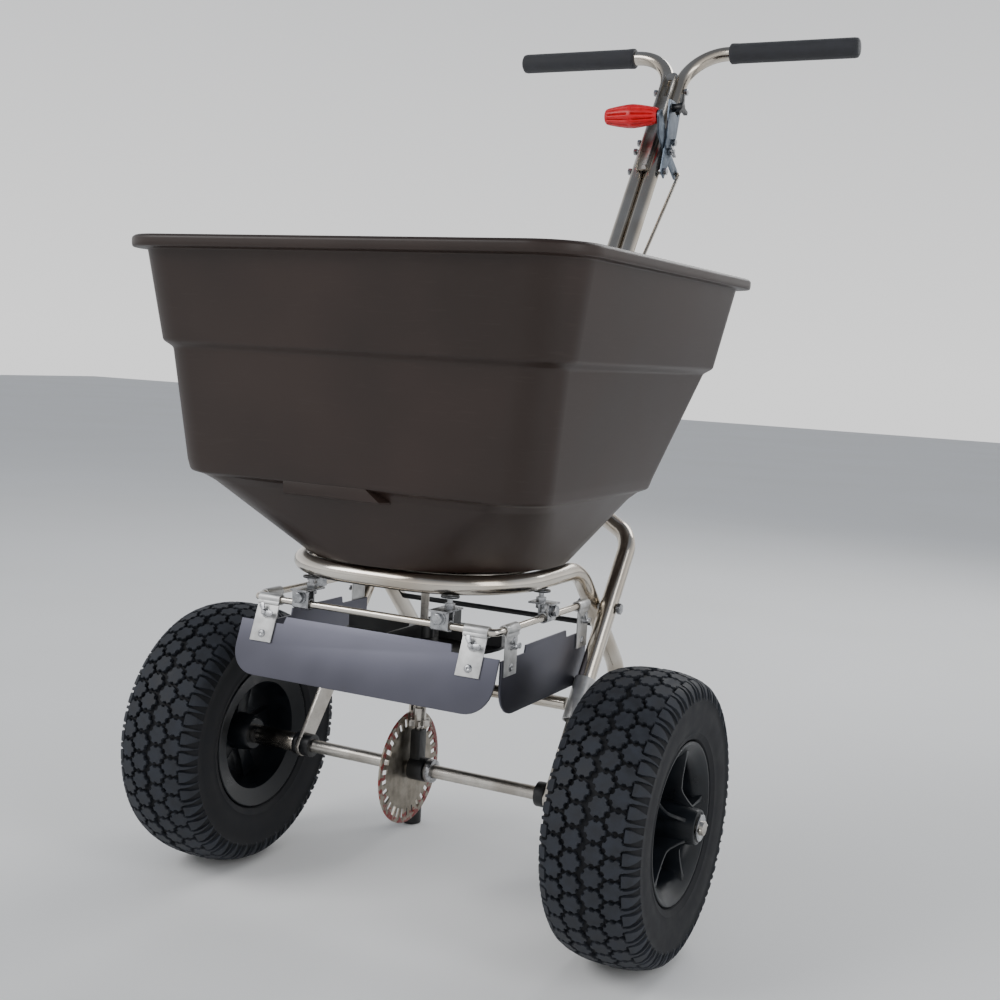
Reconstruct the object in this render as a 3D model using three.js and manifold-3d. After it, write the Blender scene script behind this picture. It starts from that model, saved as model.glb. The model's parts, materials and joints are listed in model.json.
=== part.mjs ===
// Push broadcast spreader: hopper, bent-tube frame, driven axle with a slotted gear disc,
// impeller, sliding shutter with a hand lever, and three hinged deflector flaps.
// Millimetres, +Z up. The user walks behind at +Y; left and right are as seen from the front.
import * as THREE from "three";
import { mergeVertices } from "three/addons/utils/BufferGeometryUtils.js";
import Module from "manifold-3d";

const wasm = await Module();
wasm.setup();

// ---- driving dimensions ----
const GAP = 0.4;                  // clearance left between touching pieces
const RUN = 0.35;                 // radial clearance of a shaft in its bush

const TYRE_R = 165;               // 13 inch tyre
const TYRE_HALF = 56;
const RIM_R = 91;                 // flange of the 6 inch rim
const BEAD_R = 78;
const WHEEL_X = 284;              // wheel centre plane
const AXLE_Z = TYRE_R;
const AXLE_R = 8;
const AXLE_END = 360;

const TUBE_R = 11;
const TUBE_BORE = 9.4;
const LEG_X = 172.3;              // main tubes, beside the axle
const RING_X = 149.4;             // ring tube and its stand legs
const RING_Z = 416;

const HOPPER = { front: -250.5, back: 321.5, half: 283, top: 778, wall: 4, floor: 429 };
const SPOUT_R = 157;              // round bottom of the funnel
const SPOUT_Y = 16;

const SHAFT_X = -5.6;             // vertical impeller shaft
const SHAFT_R = 5;
const DISC_X = -17;               // slotted gear disc
const DISC_R = 68.7;
const DISC_T = 2.4;
const MESH_R = 57;                // radius at which the pinion meets the slots
const SLOTS = 30;
const TEETH = 6;
const PINION_R = MESH_R * TEETH / SLOTS;
const IMPELLER_Z = 325;
const IMPELLER_R = 104;

const HANDLE_Y = 636;             // middle bolt of the handle pair
const HANDLE_Z = 1006;
const HANDLE_LEAN = Math.atan(0.644);
const PAIR_X = 11.4;
const GRIP_RISE = 180;            // from the middle bolt to the grip line
const GRIP_IN = 81;
const GRIP_OUT = 282;
const GRIP_R = 16;
const CHANNEL = { half: 9.5, wall: 2.4, depth: 10, low: -66, high: 132 };
const PIVOT = { y: -3, z: -20 };  // lever pivot, in the handle's own frame
const BOLT_TOP = 103;             // through bolts above and below the middle one
const BOLT_LOW = -57;
const SHANK_R = 3;
const LEVER_X = 22.9;
const LEVER_T = 3;
const PIN_OUT = 52;               // lever pivot to the control rod's hook
const HOOK_R = 2.7;

const RAIL_R = 4;                 // wire rail that carries the flaps
const RAIL_Z = 374;
const RAIL_FRONT = -130;
const RAIL_BACK = 116;
const RAIL_HALF = 157.5;
const FLAP_T = 2.5;
const FLAP_LOW = 90;              // rail centre to the lower edge of the front flap
const FLAP_TOP = 18.5;            // rail centre to its top edge
const NOTCH = 8.5;                // step down of the top edge beside the tabs
const SIDE_DROP = 6;              // the side flaps hang this much lower
const TAB_W = 29;
const FRONT_TILT = THREE.MathUtils.degToRad(20);
const SIDE_FLAP_Y = -3;
const HANGER_X = 91;

const GRIP_REAR = HANDLE_Y + GRIP_RISE * Math.sin(HANDLE_LEAN) + GRIP_R;
const AXLE_Y = -(HOPPER.front + GRIP_REAR) / 2;

// ---- finishes ----
const finish = (color, roughness, metalness) => ({ color, roughness, metalness });
const HOPPER_PLASTIC = finish(0x3a302b, 0.55, 0);
const BLACK_PLASTIC = finish(0x17181a, 0.5, 0);
const RIM_PLASTIC = finish(0x1d1f22, 0.55, 0);
const TYRE_RUBBER = finish(0x202125, 0.85, 0);
const FOAM = finish(0x26272b, 0.9, 0);
const STAINLESS = finish(0xb9b4ab, 0.3, 1);
const ZINC = finish(0xc9c9c6, 0.4, 1);
const GREY_PLATE = finish(0x70757c, 0.5, 0.6);
const FLAP_BLACK = finish(0x1b1b1e, 0.3, 0);
const RED = finish(0xd0202c, 0.4, 0);

// ---- helpers ----
const group = new THREE.Group();
const machine = new THREE.Group();
machine.position.y = AXLE_Y;
group.add(machine);
const handle = new THREE.Group();
handle.position.set(0, HANDLE_Y, HANDLE_Z);
handle.rotation.x = -HANDLE_LEAN;
machine.add(handle);

function add(name, geometry, { color, roughness, metalness }, parent = machine) {
  const material = new THREE.MeshStandardMaterial({ color, roughness, metalness });
  const mesh = new THREE.Mesh(geometry, material);
  mesh.name = name;
  parent.add(mesh);
  return mesh;
}

function solid(geometry) {
  const bare = geometry.index ? geometry.toNonIndexed() : geometry.clone();
  bare.deleteAttribute("normal");
  bare.deleteAttribute("uv");
  const merged = mergeVertices(bare, 1e-4);
  const vertProperties = new Float32Array(merged.attributes.position.array);
  const triVerts = new Uint32Array(merged.index.array);
  return new wasm.Manifold(new wasm.Mesh({ numProp: 3, vertProperties, triVerts }));
}

function geometryOf(body) {
  const { vertProperties, triVerts } = body.getMesh();
  const geometry = new THREE.BufferGeometry();
  geometry.setAttribute("position", new THREE.BufferAttribute(vertProperties, 3));
  geometry.setIndex(new THREE.BufferAttribute(triVerts, 1));
  geometry.computeVertexNormals();
  return geometry;
}

const join = (...parts) => geometryOf(parts.map(solid).reduce((a, b) => a.add(b)));
const cut = (body, ...tools) => geometryOf(tools.map(solid).reduce((a, b) => a.subtract(b), solid(body)));

const box = (x, y, z, w, d, h) => new THREE.BoxGeometry(w, d, h).translate(x, y, z);

// A round bar from one point to another.
function bar(from, to, r, sides = 16, rTo = r) {
  const a = new THREE.Vector3(...from);
  const b = new THREE.Vector3(...to);
  const along = b.clone().sub(a);
  const geometry = new THREE.CylinderGeometry(rTo, r, along.length(), sides);
  const turn = new THREE.Quaternion().setFromUnitVectors(new THREE.Vector3(0, 1, 0), along.normalize());
  return geometry.applyQuaternion(turn).translate(...a.add(b).multiplyScalar(0.5).toArray());
}

// A washer or tube along X, Y or Z.
function ring(axis, centre, rOut, rIn, length, sides = 16) {
  const shape = new THREE.Shape().absarc(0, 0, rOut, 0, 2 * Math.PI);
  shape.holes.push(new THREE.Path().absarc(0, 0, rIn, 0, 2 * Math.PI, true));
  const geometry = new THREE.ExtrudeGeometry(shape, { depth: length, bevelEnabled: false, curveSegments: sides / 2 });
  geometry.translate(0, 0, -length / 2);
  if (axis === "x") geometry.rotateY(Math.PI / 2);
  if (axis === "y") geometry.rotateX(Math.PI / 2);
  return geometry.translate(...centre);
}

// A plate cut from a shape drawn in the Y-Z plane, standing across X from x0 to x0 + t.
function plateYZ(shape, x0, t, curveSegments = 8) {
  const geometry = new THREE.ExtrudeGeometry(shape, { depth: t, bevelEnabled: false, curveSegments });
  return geometry.applyMatrix4(new THREE.Matrix4().set(0, 0, 1, x0, 1, 0, 0, 0, 0, 1, 0, 0, 0, 0, 0, 1));
}

// Closed solid through a list of rings that have the same number of points.
function loft(rings) {
  const n = rings[0].length;
  const points = rings.flat();
  const index = [];
  for (let k = 0; k + 1 < rings.length; k++) {
    for (let i = 0; i < n; i++) {
      const a = k * n + i;
      const b = k * n + (i + 1) % n;
      index.push(a, b, b + n, a, b + n, a + n);
    }
  }
  const top = (rings.length - 1) * n;
  for (let i = 1; i + 1 < n; i++) {
    index.push(0, i + 1, i);
    index.push(top, top + i, top + i + 1);
  }
  const geometry = new THREE.BufferGeometry().setFromPoints(points);
  geometry.setIndex(index);
  geometry.computeVertexNormals();
  return geometry;
}

// Rounded rectangle at height z, counter-clockwise from above.
function roundedRing(half, front, back, r, z, arc = 6) {
  const corners = [[half - r, back - r, 0], [r - half, back - r, 1], [r - half, front + r, 2], [half - r, front + r, 3]];
  return corners.flatMap(([x, y, quarter]) => Array.from({ length: arc + 1 }, (_, i) => {
    const angle = (quarter + i / arc) * Math.PI / 2;
    return new THREE.Vector3(x + r * Math.cos(angle), y + r * Math.sin(angle), z);
  }));
}

// A path of straight runs with rounded bends. Its stations lie at the ends of the
// straight runs and along each bend, so a long run costs one step.
class BentPath extends THREE.Curve {
  constructor(points, radii, bendSteps = 5) {
    super();
    const p = points.map((v) => new THREE.Vector3(...v));
    this.stations = [{ at: p[0], way: p[1].clone().sub(p[0]).normalize() }];
    for (let i = 1; i + 1 < p.length; i++) this.bend(p[i - 1], p[i], p[i + 1], radii[i - 1], bendSteps);
    const n = p.length;
    this.stations.push({ at: p[n - 1], way: p[n - 1].clone().sub(p[n - 2]).normalize() });
    this.steps = this.stations.length - 1;
  }

  bend(before, corner, after, radius, steps) {
    const a = corner.clone().sub(before).normalize();
    const b = after.clone().sub(corner).normalize();
    const angle = a.angleTo(b);
    const start = corner.clone().addScaledVector(a, -radius * Math.tan(angle / 2));
    const inward = b.clone().addScaledVector(a, -a.dot(b)).normalize();
    for (let k = 0; k <= steps; k++) {
      const t = angle * k / steps;
      const at = start.clone().addScaledVector(a, radius * Math.sin(t));
      at.addScaledVector(inward, radius * (1 - Math.cos(t)));
      const way = a.clone().multiplyScalar(Math.cos(t)).addScaledVector(inward, Math.sin(t));
      this.stations.push({ at, way });
    }
  }

  mix(t, key) {
    const place = Math.min(Math.max(t, 0), 1) * this.steps;
    const i = Math.min(Math.floor(place), this.steps - 1);
    return this.stations[i][key].clone().lerp(this.stations[i + 1][key], place - i);
  }

  getPoint(t) {
    return this.mix(t, "at");
  }

  getTangent(t) {
    return this.mix(t, "way").normalize();
  }

  getUtoTmapping(u) {
    return u;
  }
}

function tube(path, r, bore = 0, sides = 10) {
  const shape = new THREE.Shape().absarc(0, 0, r, 0, 2 * Math.PI);
  if (bore) shape.holes.push(new THREE.Path().absarc(0, 0, bore, 0, 2 * Math.PI, true));
  return new THREE.ExtrudeGeometry(shape, { extrudePath: path, steps: path.steps, curveSegments: sides / 2 });
}

function rounded(w, h, r) {
  const shape = new THREE.Shape();
  shape.absarc(w / 2 - r, h / 2 - r, r, 0, Math.PI / 2);
  shape.absarc(r - w / 2, h / 2 - r, r, Math.PI / 2, Math.PI);
  shape.absarc(r - w / 2, r - h / 2, r, Math.PI, 1.5 * Math.PI);
  shape.absarc(w / 2 - r, r - h / 2, r, 1.5 * Math.PI, 2 * Math.PI);
  return shape;
}

const hexBolt = (x, y, z, r = 6.4) => bar([x, y, z], [x + 5, y, z], r, 6);

// ---- hopper ----
const PORT_Y = 78;
const PORT = [36, 12];
const portRow = (y, z, t) => [-46, 0, 46].map((x) => box(x, y, z + t / 2, PORT[0], PORT[1], t + 2));

function hopper() {
  const { front, back, half, top, wall, floor } = HOPPER;
  const levels = (inset) => [
    roundedRing(SPOUT_R - inset, SPOUT_Y - SPOUT_R + inset, SPOUT_Y + SPOUT_R - inset, SPOUT_R - inset - 0.01, floor),
    roundedRing(214 - inset, -183 + inset, 134 - inset, 66, 508),
    roundedRing(219.5 - inset, -189 + inset, 138.5 - inset, 50, 516),
    roundedRing(226.5 - inset, -197 + inset, 145 - inset, 42, 519.5),
    roundedRing(229.5 - inset, -199.5 + inset, 150 - inset, 42, 537),
    roundedRing(243.6 - inset, -212 + inset, 262 - inset, 42, 655),
    roundedRing(254 - inset, -220.5 + inset, 273 - inset, 46, 661),
    roundedRing(270.5 - inset, -235 + inset, 298 - inset, 52, 764),
  ];
  const lipRing = (grow, z) => roundedRing(half + grow, front - grow, back + grow, 58, z);
  const outer = loft([...levels(0), lipRing(-1.5, 764.6), lipRing(0, 767), lipRing(0, top - 2), lipRing(-2, top)]);
  const inside = levels(wall);
  inside[0].forEach((v) => { v.z = floor + wall; });
  inside.push(roundedRing(half - 11, front + 11, back - 11, 50, top + 1));
  const ports = portRow(PORT_Y, floor, wall);
  const shaftHole = bar([SHAFT_X, 0, floor - 1], [SHAFT_X, 0, floor + wall + 1], 9, 20);
  return cut(outer, loft(inside), ...ports, shaftHole);
}
add("hopper", hopper(), HOPPER_PLASTIC);

// ---- shutter and the base plate it slides on ----
const SHUTTER_Z = 426.2;
const SHUTTER_T = 2;
const SHUTTER_TRAVEL = 15.9;
const BASE_T = 2.4;
const HOOK_Y = 206;
const PIN_Z = SHUTTER_Z + 38;     // rod's lower pin with the shutter closed
const TAB_X = 15;

function shutterPlate() {
  const plate = box(0, 98, SHUTTER_Z + SHUTTER_T / 2, 152, 144, SHUTTER_T);
  const tail = box(TAB_X, 190, SHUTTER_Z + SHUTTER_T / 2, 30, 56, SHUTTER_T);
  const tab = box(TAB_X, HOOK_Y, SHUTTER_Z + 25, SHUTTER_T, 20, 50);
  const slot = box(TAB_X, HOOK_Y, PIN_Z - 9, SHUTTER_T * 3, 2 * HOOK_R + 0.8, 28);
  return cut(join(plate, tail, tab), ...portRow(PORT_Y + SHUTTER_TRAVEL, SHUTTER_Z, SHUTTER_T), slot);
}
add("shutter_plate", shutterPlate(), STAINLESS);

function basePlate() {
  const z = SHUTTER_Z - GAP - BASE_T;
  const outline = (height) => roundedRing(134, -114, 112, 92, height, 5);
  const disc = loft([outline(z), outline(z + BASE_T)]);
  const shaftHole = bar([SHAFT_X, 0, z - 1], [SHAFT_X, 0, z + BASE_T + 1], SHAFT_R + 2, 20);
  return cut(disc, ...portRow(PORT_Y, z, BASE_T), shaftHole);
}
add("base_plate", basePlate(), STAINLESS);

// ---- frame tubes ----
const LEAN = 0.709;                // back per up, along the lower main tube
const legY = (z) => (z - AXLE_Z) * LEAN;
const pairY = (z) => HANDLE_Y + (z - HANDLE_Z) * Math.tan(HANDLE_LEAN);
const SLEEVE_LOW = 240;
const SLEEVE_HIGH = 286;
const CROSS = { y: 143, z: 366 };  // bolt where main tube and stand leg cross
const STRUT = { y: 174, z: 337, r: 3.5 };
const BOLT_HOLE = 4.5;
const RING_FRONT = -130;
const KNEE_Y = 96;                 // where the ring tube turns down into the stand legs
const SHIN_Z = 268;                // where the legs turn upright
const FOOT_Y = 242;
const FOOT_GAP = 8;                // plastic under the tube's end
const TURN_Z = 448;                // where a main tube turns in towards the middle
const PAIR_Z = 503;                // where it meets its neighbour

function standTube() {
  const knee = [RING_X, KNEE_Y, RING_Z];
  const shin = [RING_X, FOOT_Y, SHIN_Z];
  const path = new BentPath([
    [-RING_X, FOOT_Y, FOOT_GAP], [-RING_X, FOOT_Y, SHIN_Z], [-RING_X, KNEE_Y, RING_Z],
    [-RING_X, RING_FRONT, RING_Z], [RING_X, RING_FRONT, RING_Z],
    knee, shin, [RING_X, FOOT_Y, FOOT_GAP],
  ], [60, 70, 118, 118, 70, 60], 4);
  const reach = RING_X - (TUBE_R + TUBE_BORE) / 2;
  const strut = bar([-reach, STRUT.y, STRUT.z], [reach, STRUT.y, STRUT.z], STRUT.r, 8);
  const hole = (s) => bar([s * 130, CROSS.y, CROSS.z], [s * 170, CROSS.y, CROSS.z], BOLT_HOLE, 8);
  return cut(join(tube(path, TUBE_R, TUBE_BORE), strut), hole(-1), hole(1));
}
add("stand_tube", standTube(), STAINLESS);

for (const [side, s] of [["left", -1], ["right", 1]]) {
  const lift = (z) => [s * LEG_X, legY(z), z];
  const gripZ = HANDLE_Z + GRIP_RISE * Math.cos(HANDLE_LEAN);
  const corners = [
    lift(SLEEVE_LOW + 16), lift(TURN_Z), [s * PAIR_X, pairY(PAIR_Z), PAIR_Z],
    [s * PAIR_X, pairY(gripZ), gripZ], [s * (GRIP_OUT - 4), pairY(gripZ), gripZ],
  ];
  const body = tube(new BentPath(corners, [46, 70, 66], 4), TUBE_R, TUBE_BORE);
  const across = (y, z, r) => bar([-60, y, z], [60, y, z], r, 8);
  const holes = [BOLT_LOW, PIVOT.z, 0, BOLT_TOP].map((up) => {
    const back = up === PIVOT.z ? PIVOT.y : 0;
    const y = HANDLE_Y + up * Math.sin(HANDLE_LEAN) + back * Math.cos(HANDLE_LEAN);
    const z = HANDLE_Z + up * Math.cos(HANDLE_LEAN) - back * Math.sin(HANDLE_LEAN);
    return across(y, z, SHANK_R + GAP + 0.2);
  });
  const crossHole = bar([s * 150, CROSS.y, CROSS.z], [s * 200, CROSS.y, CROSS.z], BOLT_HOLE, 8);
  add(`main_tube_${side}`, cut(body, ...holes, crossHole), STAINLESS);

  add(`grip_${side}`, join(
    ring("x", [s * (GRIP_IN + GRIP_OUT - 3) / 2, pairY(gripZ), gripZ], GRIP_R, TUBE_R + GAP, GRIP_OUT - GRIP_IN - 3, 16),
    bar([s * (GRIP_OUT - 3.5), pairY(gripZ), gripZ], [s * GRIP_OUT, pairY(gripZ), gripZ], GRIP_R, 16),
  ), FOAM);

  // Sleeve that clamps the tube's lower end to the flattened axle plate.
  const along = new BentPath([lift(SLEEVE_LOW), lift(SLEEVE_HIGH)], []);
  add(`sleeve_${side}`, tube(along, TUBE_R + 2.4, TUBE_R + GAP, 14), ZINC);

  const strap = new THREE.Shape();
  strap.absarc(0, AXLE_Z, 15, Math.PI, 2 * Math.PI);
  strap.lineTo(legY(236) + 15, 229);
  strap.lineTo(legY(236) - 9, 246);
  const plate = plateYZ(strap, s * LEG_X - 2.5, 5);
  const bush = bar([s * LEG_X - 10, 0, AXLE_Z], [s * LEG_X + 10, 0, AXLE_Z], 11, 24);
  add(`axle_plate_${side}`, cut(plate, bush), STAINLESS);

  const bushing = [
    [AXLE_R + RUN, -15], [14.5, -15], [14.5, -3], [11 - GAP, -3], [11 - GAP, 3], [14.5, 3], [14.5, 9],
    [AXLE_R + RUN, 9], [AXLE_R + RUN, -15],
  ].map(([r, w]) => new THREE.Vector2(r, -w * s));
  if (s > 0) bushing.reverse();
  add(`axle_bush_${side}`, new THREE.LatheGeometry(bushing, 16).rotateZ(Math.PI / 2)
    .translate(s * LEG_X, 0, AXLE_Z), BLACK_PLASTIC);

  add(`foot_cap_${side}`, join(
    ring("z", [s * RING_X, FOOT_Y, 17], TUBE_R + 2.6, TUBE_R + GAP, 22, 16),
    bar([s * RING_X, FOOT_Y, 0], [s * RING_X, FOOT_Y, FOOT_GAP - GAP], TUBE_R + 2.6, 16),
  ), BLACK_PLASTIC);

  // Bolt through the main tube and the stand leg where they cross.
  const x0 = s > 0 ? RING_X - TUBE_R - 6 : -LEG_X - TUBE_R - 6;
  add(`cross_bolt_${side}`, join(
    hexBolt(x0, CROSS.y, CROSS.z, 7),
    bar([x0 + 4, CROSS.y, CROSS.z], [x0 + LEG_X - RING_X + 2 * TUBE_R + 8, CROSS.y, CROSS.z], 4, 8),
    hexBolt(x0 + LEG_X - RING_X + 2 * TUBE_R + 7, CROSS.y, CROSS.z, 7),
  ), ZINC);
}

const BRACE_Z = 258;
add("cross_brace", tube(new BentPath([
  [-LEG_X + 15, legY(BRACE_Z), BRACE_Z], [LEG_X - 15, legY(BRACE_Z), BRACE_Z],
], []), 8, 6.5), STAINLESS);

// ---- deflector rail and its hangers ----
add("deflector_rail", tube(new BentPath([
  [-RAIL_HALF, RAIL_BACK, RAIL_Z], [-RAIL_HALF, RAIL_FRONT, RAIL_Z],
  [RAIL_HALF, RAIL_FRONT, RAIL_Z], [RAIL_HALF, RAIL_BACK, RAIL_Z],
], [9, 9], 4), RAIL_R, 0, 10), STAINLESS);

// A clamp on the rail: an eye, an upright web, a shelf on top and a post up to the ring.
const WEB_W = 32;
const SHELF = 22;                  // rail centre up to the shelf
const SHEET = 2.2;
function hanger(x, y, postX, postY) {
  const alongX = y === RAIL_FRONT;
  const off = RAIL_R + 1.4;
  const eye = ring(alongX ? "x" : "y", [x, y, RAIL_Z], RAIL_R + 2.6, RAIL_R + GAP, WEB_W, 12);
  const webZ = RAIL_Z + SHELF / 2;
  const web = alongX ? box(x, y + off, webZ, WEB_W, SHEET, SHELF)
    : box(x - Math.sign(x) * off, y, webZ, SHEET, WEB_W, SHELF);
  const reach = Math.abs(x - postX) + Math.abs(y - postY) + 11;
  const shelf = alongX ? box(x, y + off + reach / 2 - off / 2, RAIL_Z + SHELF, WEB_W, reach - off, SHEET)
    : box(x - Math.sign(x) * (reach + off) / 2, y, RAIL_Z + SHELF, reach - off, WEB_W, SHEET);
  const post = bar([postX, postY, RAIL_Z + SHELF], [postX, postY, RING_Z - TUBE_R - GAP], 3, 8);
  return join(eye, web, shelf, post);
}
const POST_Y = -114;               // under the bend of the ring tube
add("hanger_front_left", hanger(-HANGER_X, RAIL_FRONT, -HANGER_X, POST_Y), ZINC);
add("hanger_front_right", hanger(HANGER_X, RAIL_FRONT, HANGER_X, POST_Y), ZINC);
add("hanger_rear_left", hanger(-RAIL_HALF, -5, -RING_X, -5), ZINC);
add("hanger_rear_right", hanger(RAIL_HALF, -5, RING_X, -5), ZINC);

// ---- flaps, each with two tabs wrapped round the rail ----
function flapSheet(length) {
  return new THREE.ExtrudeGeometry(flapOutline(length), { depth: FLAP_T, bevelEnabled: false, curveSegments: 6 })
    .translate(0, 0, -FLAP_T / 2).rotateX(Math.PI / 2);
}

function flapOutline(length) {
  const h = length / 2;
  const r = 32;
  const low = -FLAP_LOW + r;
  const shape = new THREE.Shape();
  shape.moveTo(-h, -FLAP_TOP - NOTCH);
  shape.absarc(-h + r, low, r, Math.PI, 1.5 * Math.PI);
  shape.absarc(h - r, low, r, 1.5 * Math.PI, 2 * Math.PI);
  shape.lineTo(h, -FLAP_TOP - NOTCH);
  shape.lineTo(h - 2 * TAB_W, -FLAP_TOP - NOTCH);
  shape.lineTo(h - 2 * TAB_W - 2, -FLAP_TOP);
  shape.lineTo(2 * TAB_W + 2 - h, -FLAP_TOP);
  shape.lineTo(2 * TAB_W - h, -FLAP_TOP - NOTCH);
  return shape;
}

function flapTab(at) {
  const eye = ring("x", [at, 0, 0], RAIL_R + 2.2, RAIL_R + GAP, TAB_W, 10);
  const y = -FLAP_T / 2 - GAP - 0.8;
  const strap = box(at, y - 0.3, -27.5, TAB_W, 1.6, 47);
  const neck = box(at, -3.2, -6.2, TAB_W, 3.6, 3.2);
  const rivet = bar([at, y - 3, -42], [at, y, -42], 4.4, 8);
  return join(eye, neck, strap, rivet);
}

function flap(name, length, drop, tabs, frame) {
  const holder = new THREE.Group();
  frame(holder);
  machine.add(holder);
  add(`${name}_flap`, flapSheet(length).translate(0, 0, -drop), FLAP_BLACK, holder);
  tabs.forEach((at, i) => add(`${name}_flap_tab_${i + 1}`, flapTab(at), ZINC, holder));
}
flap("front", 336, 0, [-135, 135], (g) => {
  g.position.set(0, RAIL_FRONT, RAIL_Z);
  g.rotation.x = -FRONT_TILT;
});
flap("right", 226, SIDE_DROP, [-95, 96], (g) => {
  g.position.set(RAIL_HALF, SIDE_FLAP_Y, RAIL_Z);
  g.rotation.z = Math.PI / 2;
});
flap("left", 226, SIDE_DROP, [-96, 95], (g) => {
  g.position.set(-RAIL_HALF, SIDE_FLAP_Y, RAIL_Z);
  g.rotation.z = -Math.PI / 2;
});

// ---- wheels ----
// Tyre section: a C open towards the axle, drawn as radius against width.
function tyre() {
  const outside = [
    [BEAD_R + 0.5, -36], [RIM_R, -45], [RIM_R + 3, -51], [118, -TYRE_HALF], [144, -TYRE_HALF], [158, -46], [TYRE_R, -18],
    [TYRE_R, 18], [158, 46], [144, TYRE_HALF], [118, TYRE_HALF],
    [RIM_R + 3, 51], [RIM_R, 45], [BEAD_R + 0.5, 36],
  ];
  const inside = [
    [BEAD_R + 0.5, 30], [RIM_R + 4, 42], [122, 47], [144, 43], [155, 0], [144, -43], [122, -47], [RIM_R + 4, -42],
    [BEAD_R + 0.5, -30],
  ];
  const loop = [...outside, ...inside, outside[0]].map(([r, w]) => new THREE.Vector2(r, w));
  return new THREE.LatheGeometry(loop, 32).rotateZ(Math.PI / 2);
}

// Moulded rim: barrel with two flanges, a hub and five spokes, each a flat foot with a deep rib.
const RIB_T = 4;
const RIB_TURN = THREE.MathUtils.degToRad(-13);
const RIB_EDGE = [[-9, 14], [60, 14], [59, 20], [53, 26], [46.5, 33], [44, 38], [43.5, 50], [45, 74], [-9, 74]];
function rim(s) {
  const barrel = [
    [BEAD_R - 9, -44], [RIM_R, -50], [RIM_R, -47], [BEAD_R - 1, -37], [BEAD_R - 1, -28], [BEAD_R - 6, -18],
    [BEAD_R - 6, 18], [BEAD_R - 1, 28], [BEAD_R - 1, 37], [RIM_R, 47], [RIM_R, 50], [BEAD_R - 9, 44],
    [BEAD_R - 12, 14], [BEAD_R - 12, -14], [BEAD_R - 9, -44],
  ].map(([r, w]) => new THREE.Vector2(r, w));
  const drum = new THREE.LatheGeometry(barrel, 28).rotateZ(Math.PI / 2);
  const hub = [bar([-36, 0, 0], [10, 0, 0], 20, 18, 26), bar([10, 0, 0], [70, 0, 0], 26, 18, 19)];
  const edge = new THREE.Shape(RIB_EDGE.map(([x, r]) => new THREE.Vector2(x, r)));
  const turn = (i) => RIB_TURN + i * 2 * Math.PI / 5;
  const ribs = Array.from({ length: 5 }, (_, i) => (
    new THREE.ExtrudeGeometry(edge, { depth: RIB_T, bevelEnabled: false })
      .translate(0, 0, -RIB_T / 2).rotateX(Math.PI / 2 + turn(i))
  ));
  const feet = Array.from({ length: 5 }, (_, i) => (
    new THREE.BoxGeometry(12, 24, 56).translate(-4, 0, 43).rotateX(turn(i))
  ));
  const bore = bar([-80, 0, 0], [90, 0, 0], AXLE_R + RUN, 16);
  const body = cut(join(drum, ...hub, ...feet, ...ribs), bore);
  return s > 0 ? body : body.rotateZ(Math.PI).rotateX(2 * RIB_TURN);
}

for (const [side, s] of [["left", -1], ["right", 1]]) {
  add(`tyre_${side}`, tyre(), TYRE_RUBBER).position.set(s * WHEEL_X, 0, AXLE_Z);
  add(`rim_${side}`, rim(s), RIM_PLASTIC).position.set(s * WHEEL_X, 0, AXLE_Z);
  const inner = LEG_X + 9 + GAP;
  const outer = WHEEL_X - 36 - GAP;
  add(`axle_spacer_${side}`, ring("x", [s * (inner + outer) / 2, 0, AXLE_Z], 12, AXLE_R + 0.4, outer - inner), ZINC);
  add(`axle_washer_${side}`, ring("x", [s * (WHEEL_X + 71.3), 0, AXLE_Z], 15, AXLE_R + GAP, 1.6), ZINC);
}

// ---- axle, gear disc and pinion ----
add("axle", join(
  bar([-AXLE_END, 0, AXLE_Z], [AXLE_END, 0, AXLE_Z], AXLE_R, 24),
  bar([-358, -13, AXLE_Z], [-358, 13, AXLE_Z], 1.5, 8),
  bar([358, -13, AXLE_Z], [358, 13, AXLE_Z], 1.5, 8),
), ZINC);

function gearDisc() {
  const disc = ring("x", [0, 0, 0], DISC_R, AXLE_R + GAP, DISC_T, 40);
  const hub = ring("x", [-DISC_T / 2 - 7, 0, 0], 15, AXLE_R + GAP, 15, 24);
  const slots = Array.from({ length: SLOTS }, (_, i) => (
    new THREE.BoxGeometry(DISC_T * 3, 5.9, 11).translate(0, 0, MESH_R).rotateX(i * 2 * Math.PI / SLOTS)
  ));
  return cut(join(disc, hub), ...slots);
}
add("gear_disc", gearDisc(), STAINLESS).position.set(DISC_X, 0, AXLE_Z);

function pinion() {
  const core = bar([0, 0, -3.6], [0, 0, 3.6], PINION_R - 3.9, 18);
  const tooth = new THREE.Shape();
  tooth.moveTo(4, -2.6);
  tooth.lineTo(PINION_R, -1.7);
  tooth.lineTo(PINION_R + 2.6, -0.9);
  tooth.lineTo(PINION_R + 2.6, 0.9);
  tooth.lineTo(PINION_R, 1.7);
  tooth.lineTo(4, 2.6);
  const teeth = Array.from({ length: TEETH }, (_, i) => (
    new THREE.ExtrudeGeometry(tooth, { depth: 7.2, bevelEnabled: false })
      .translate(0, 0, -3.6).rotateZ(Math.PI + i * 2 * Math.PI / TEETH)
  ));
  const collar = bar([0, 0, 3], [0, 0, 18], 8, 20);
  const bore = bar([0, 0, -9], [0, 0, 30], SHAFT_R + GAP, 20);
  return cut(join(core, ...teeth, collar), bore);
}
const MESH_Z = AXLE_Z + MESH_R;
add("pinion", pinion(), ZINC).position.set(SHAFT_X, 0, MESH_Z);

add("impeller_shaft", bar([SHAFT_X, 0, MESH_Z - 12], [SHAFT_X, 0, 474], SHAFT_R, 16), ZINC);

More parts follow.
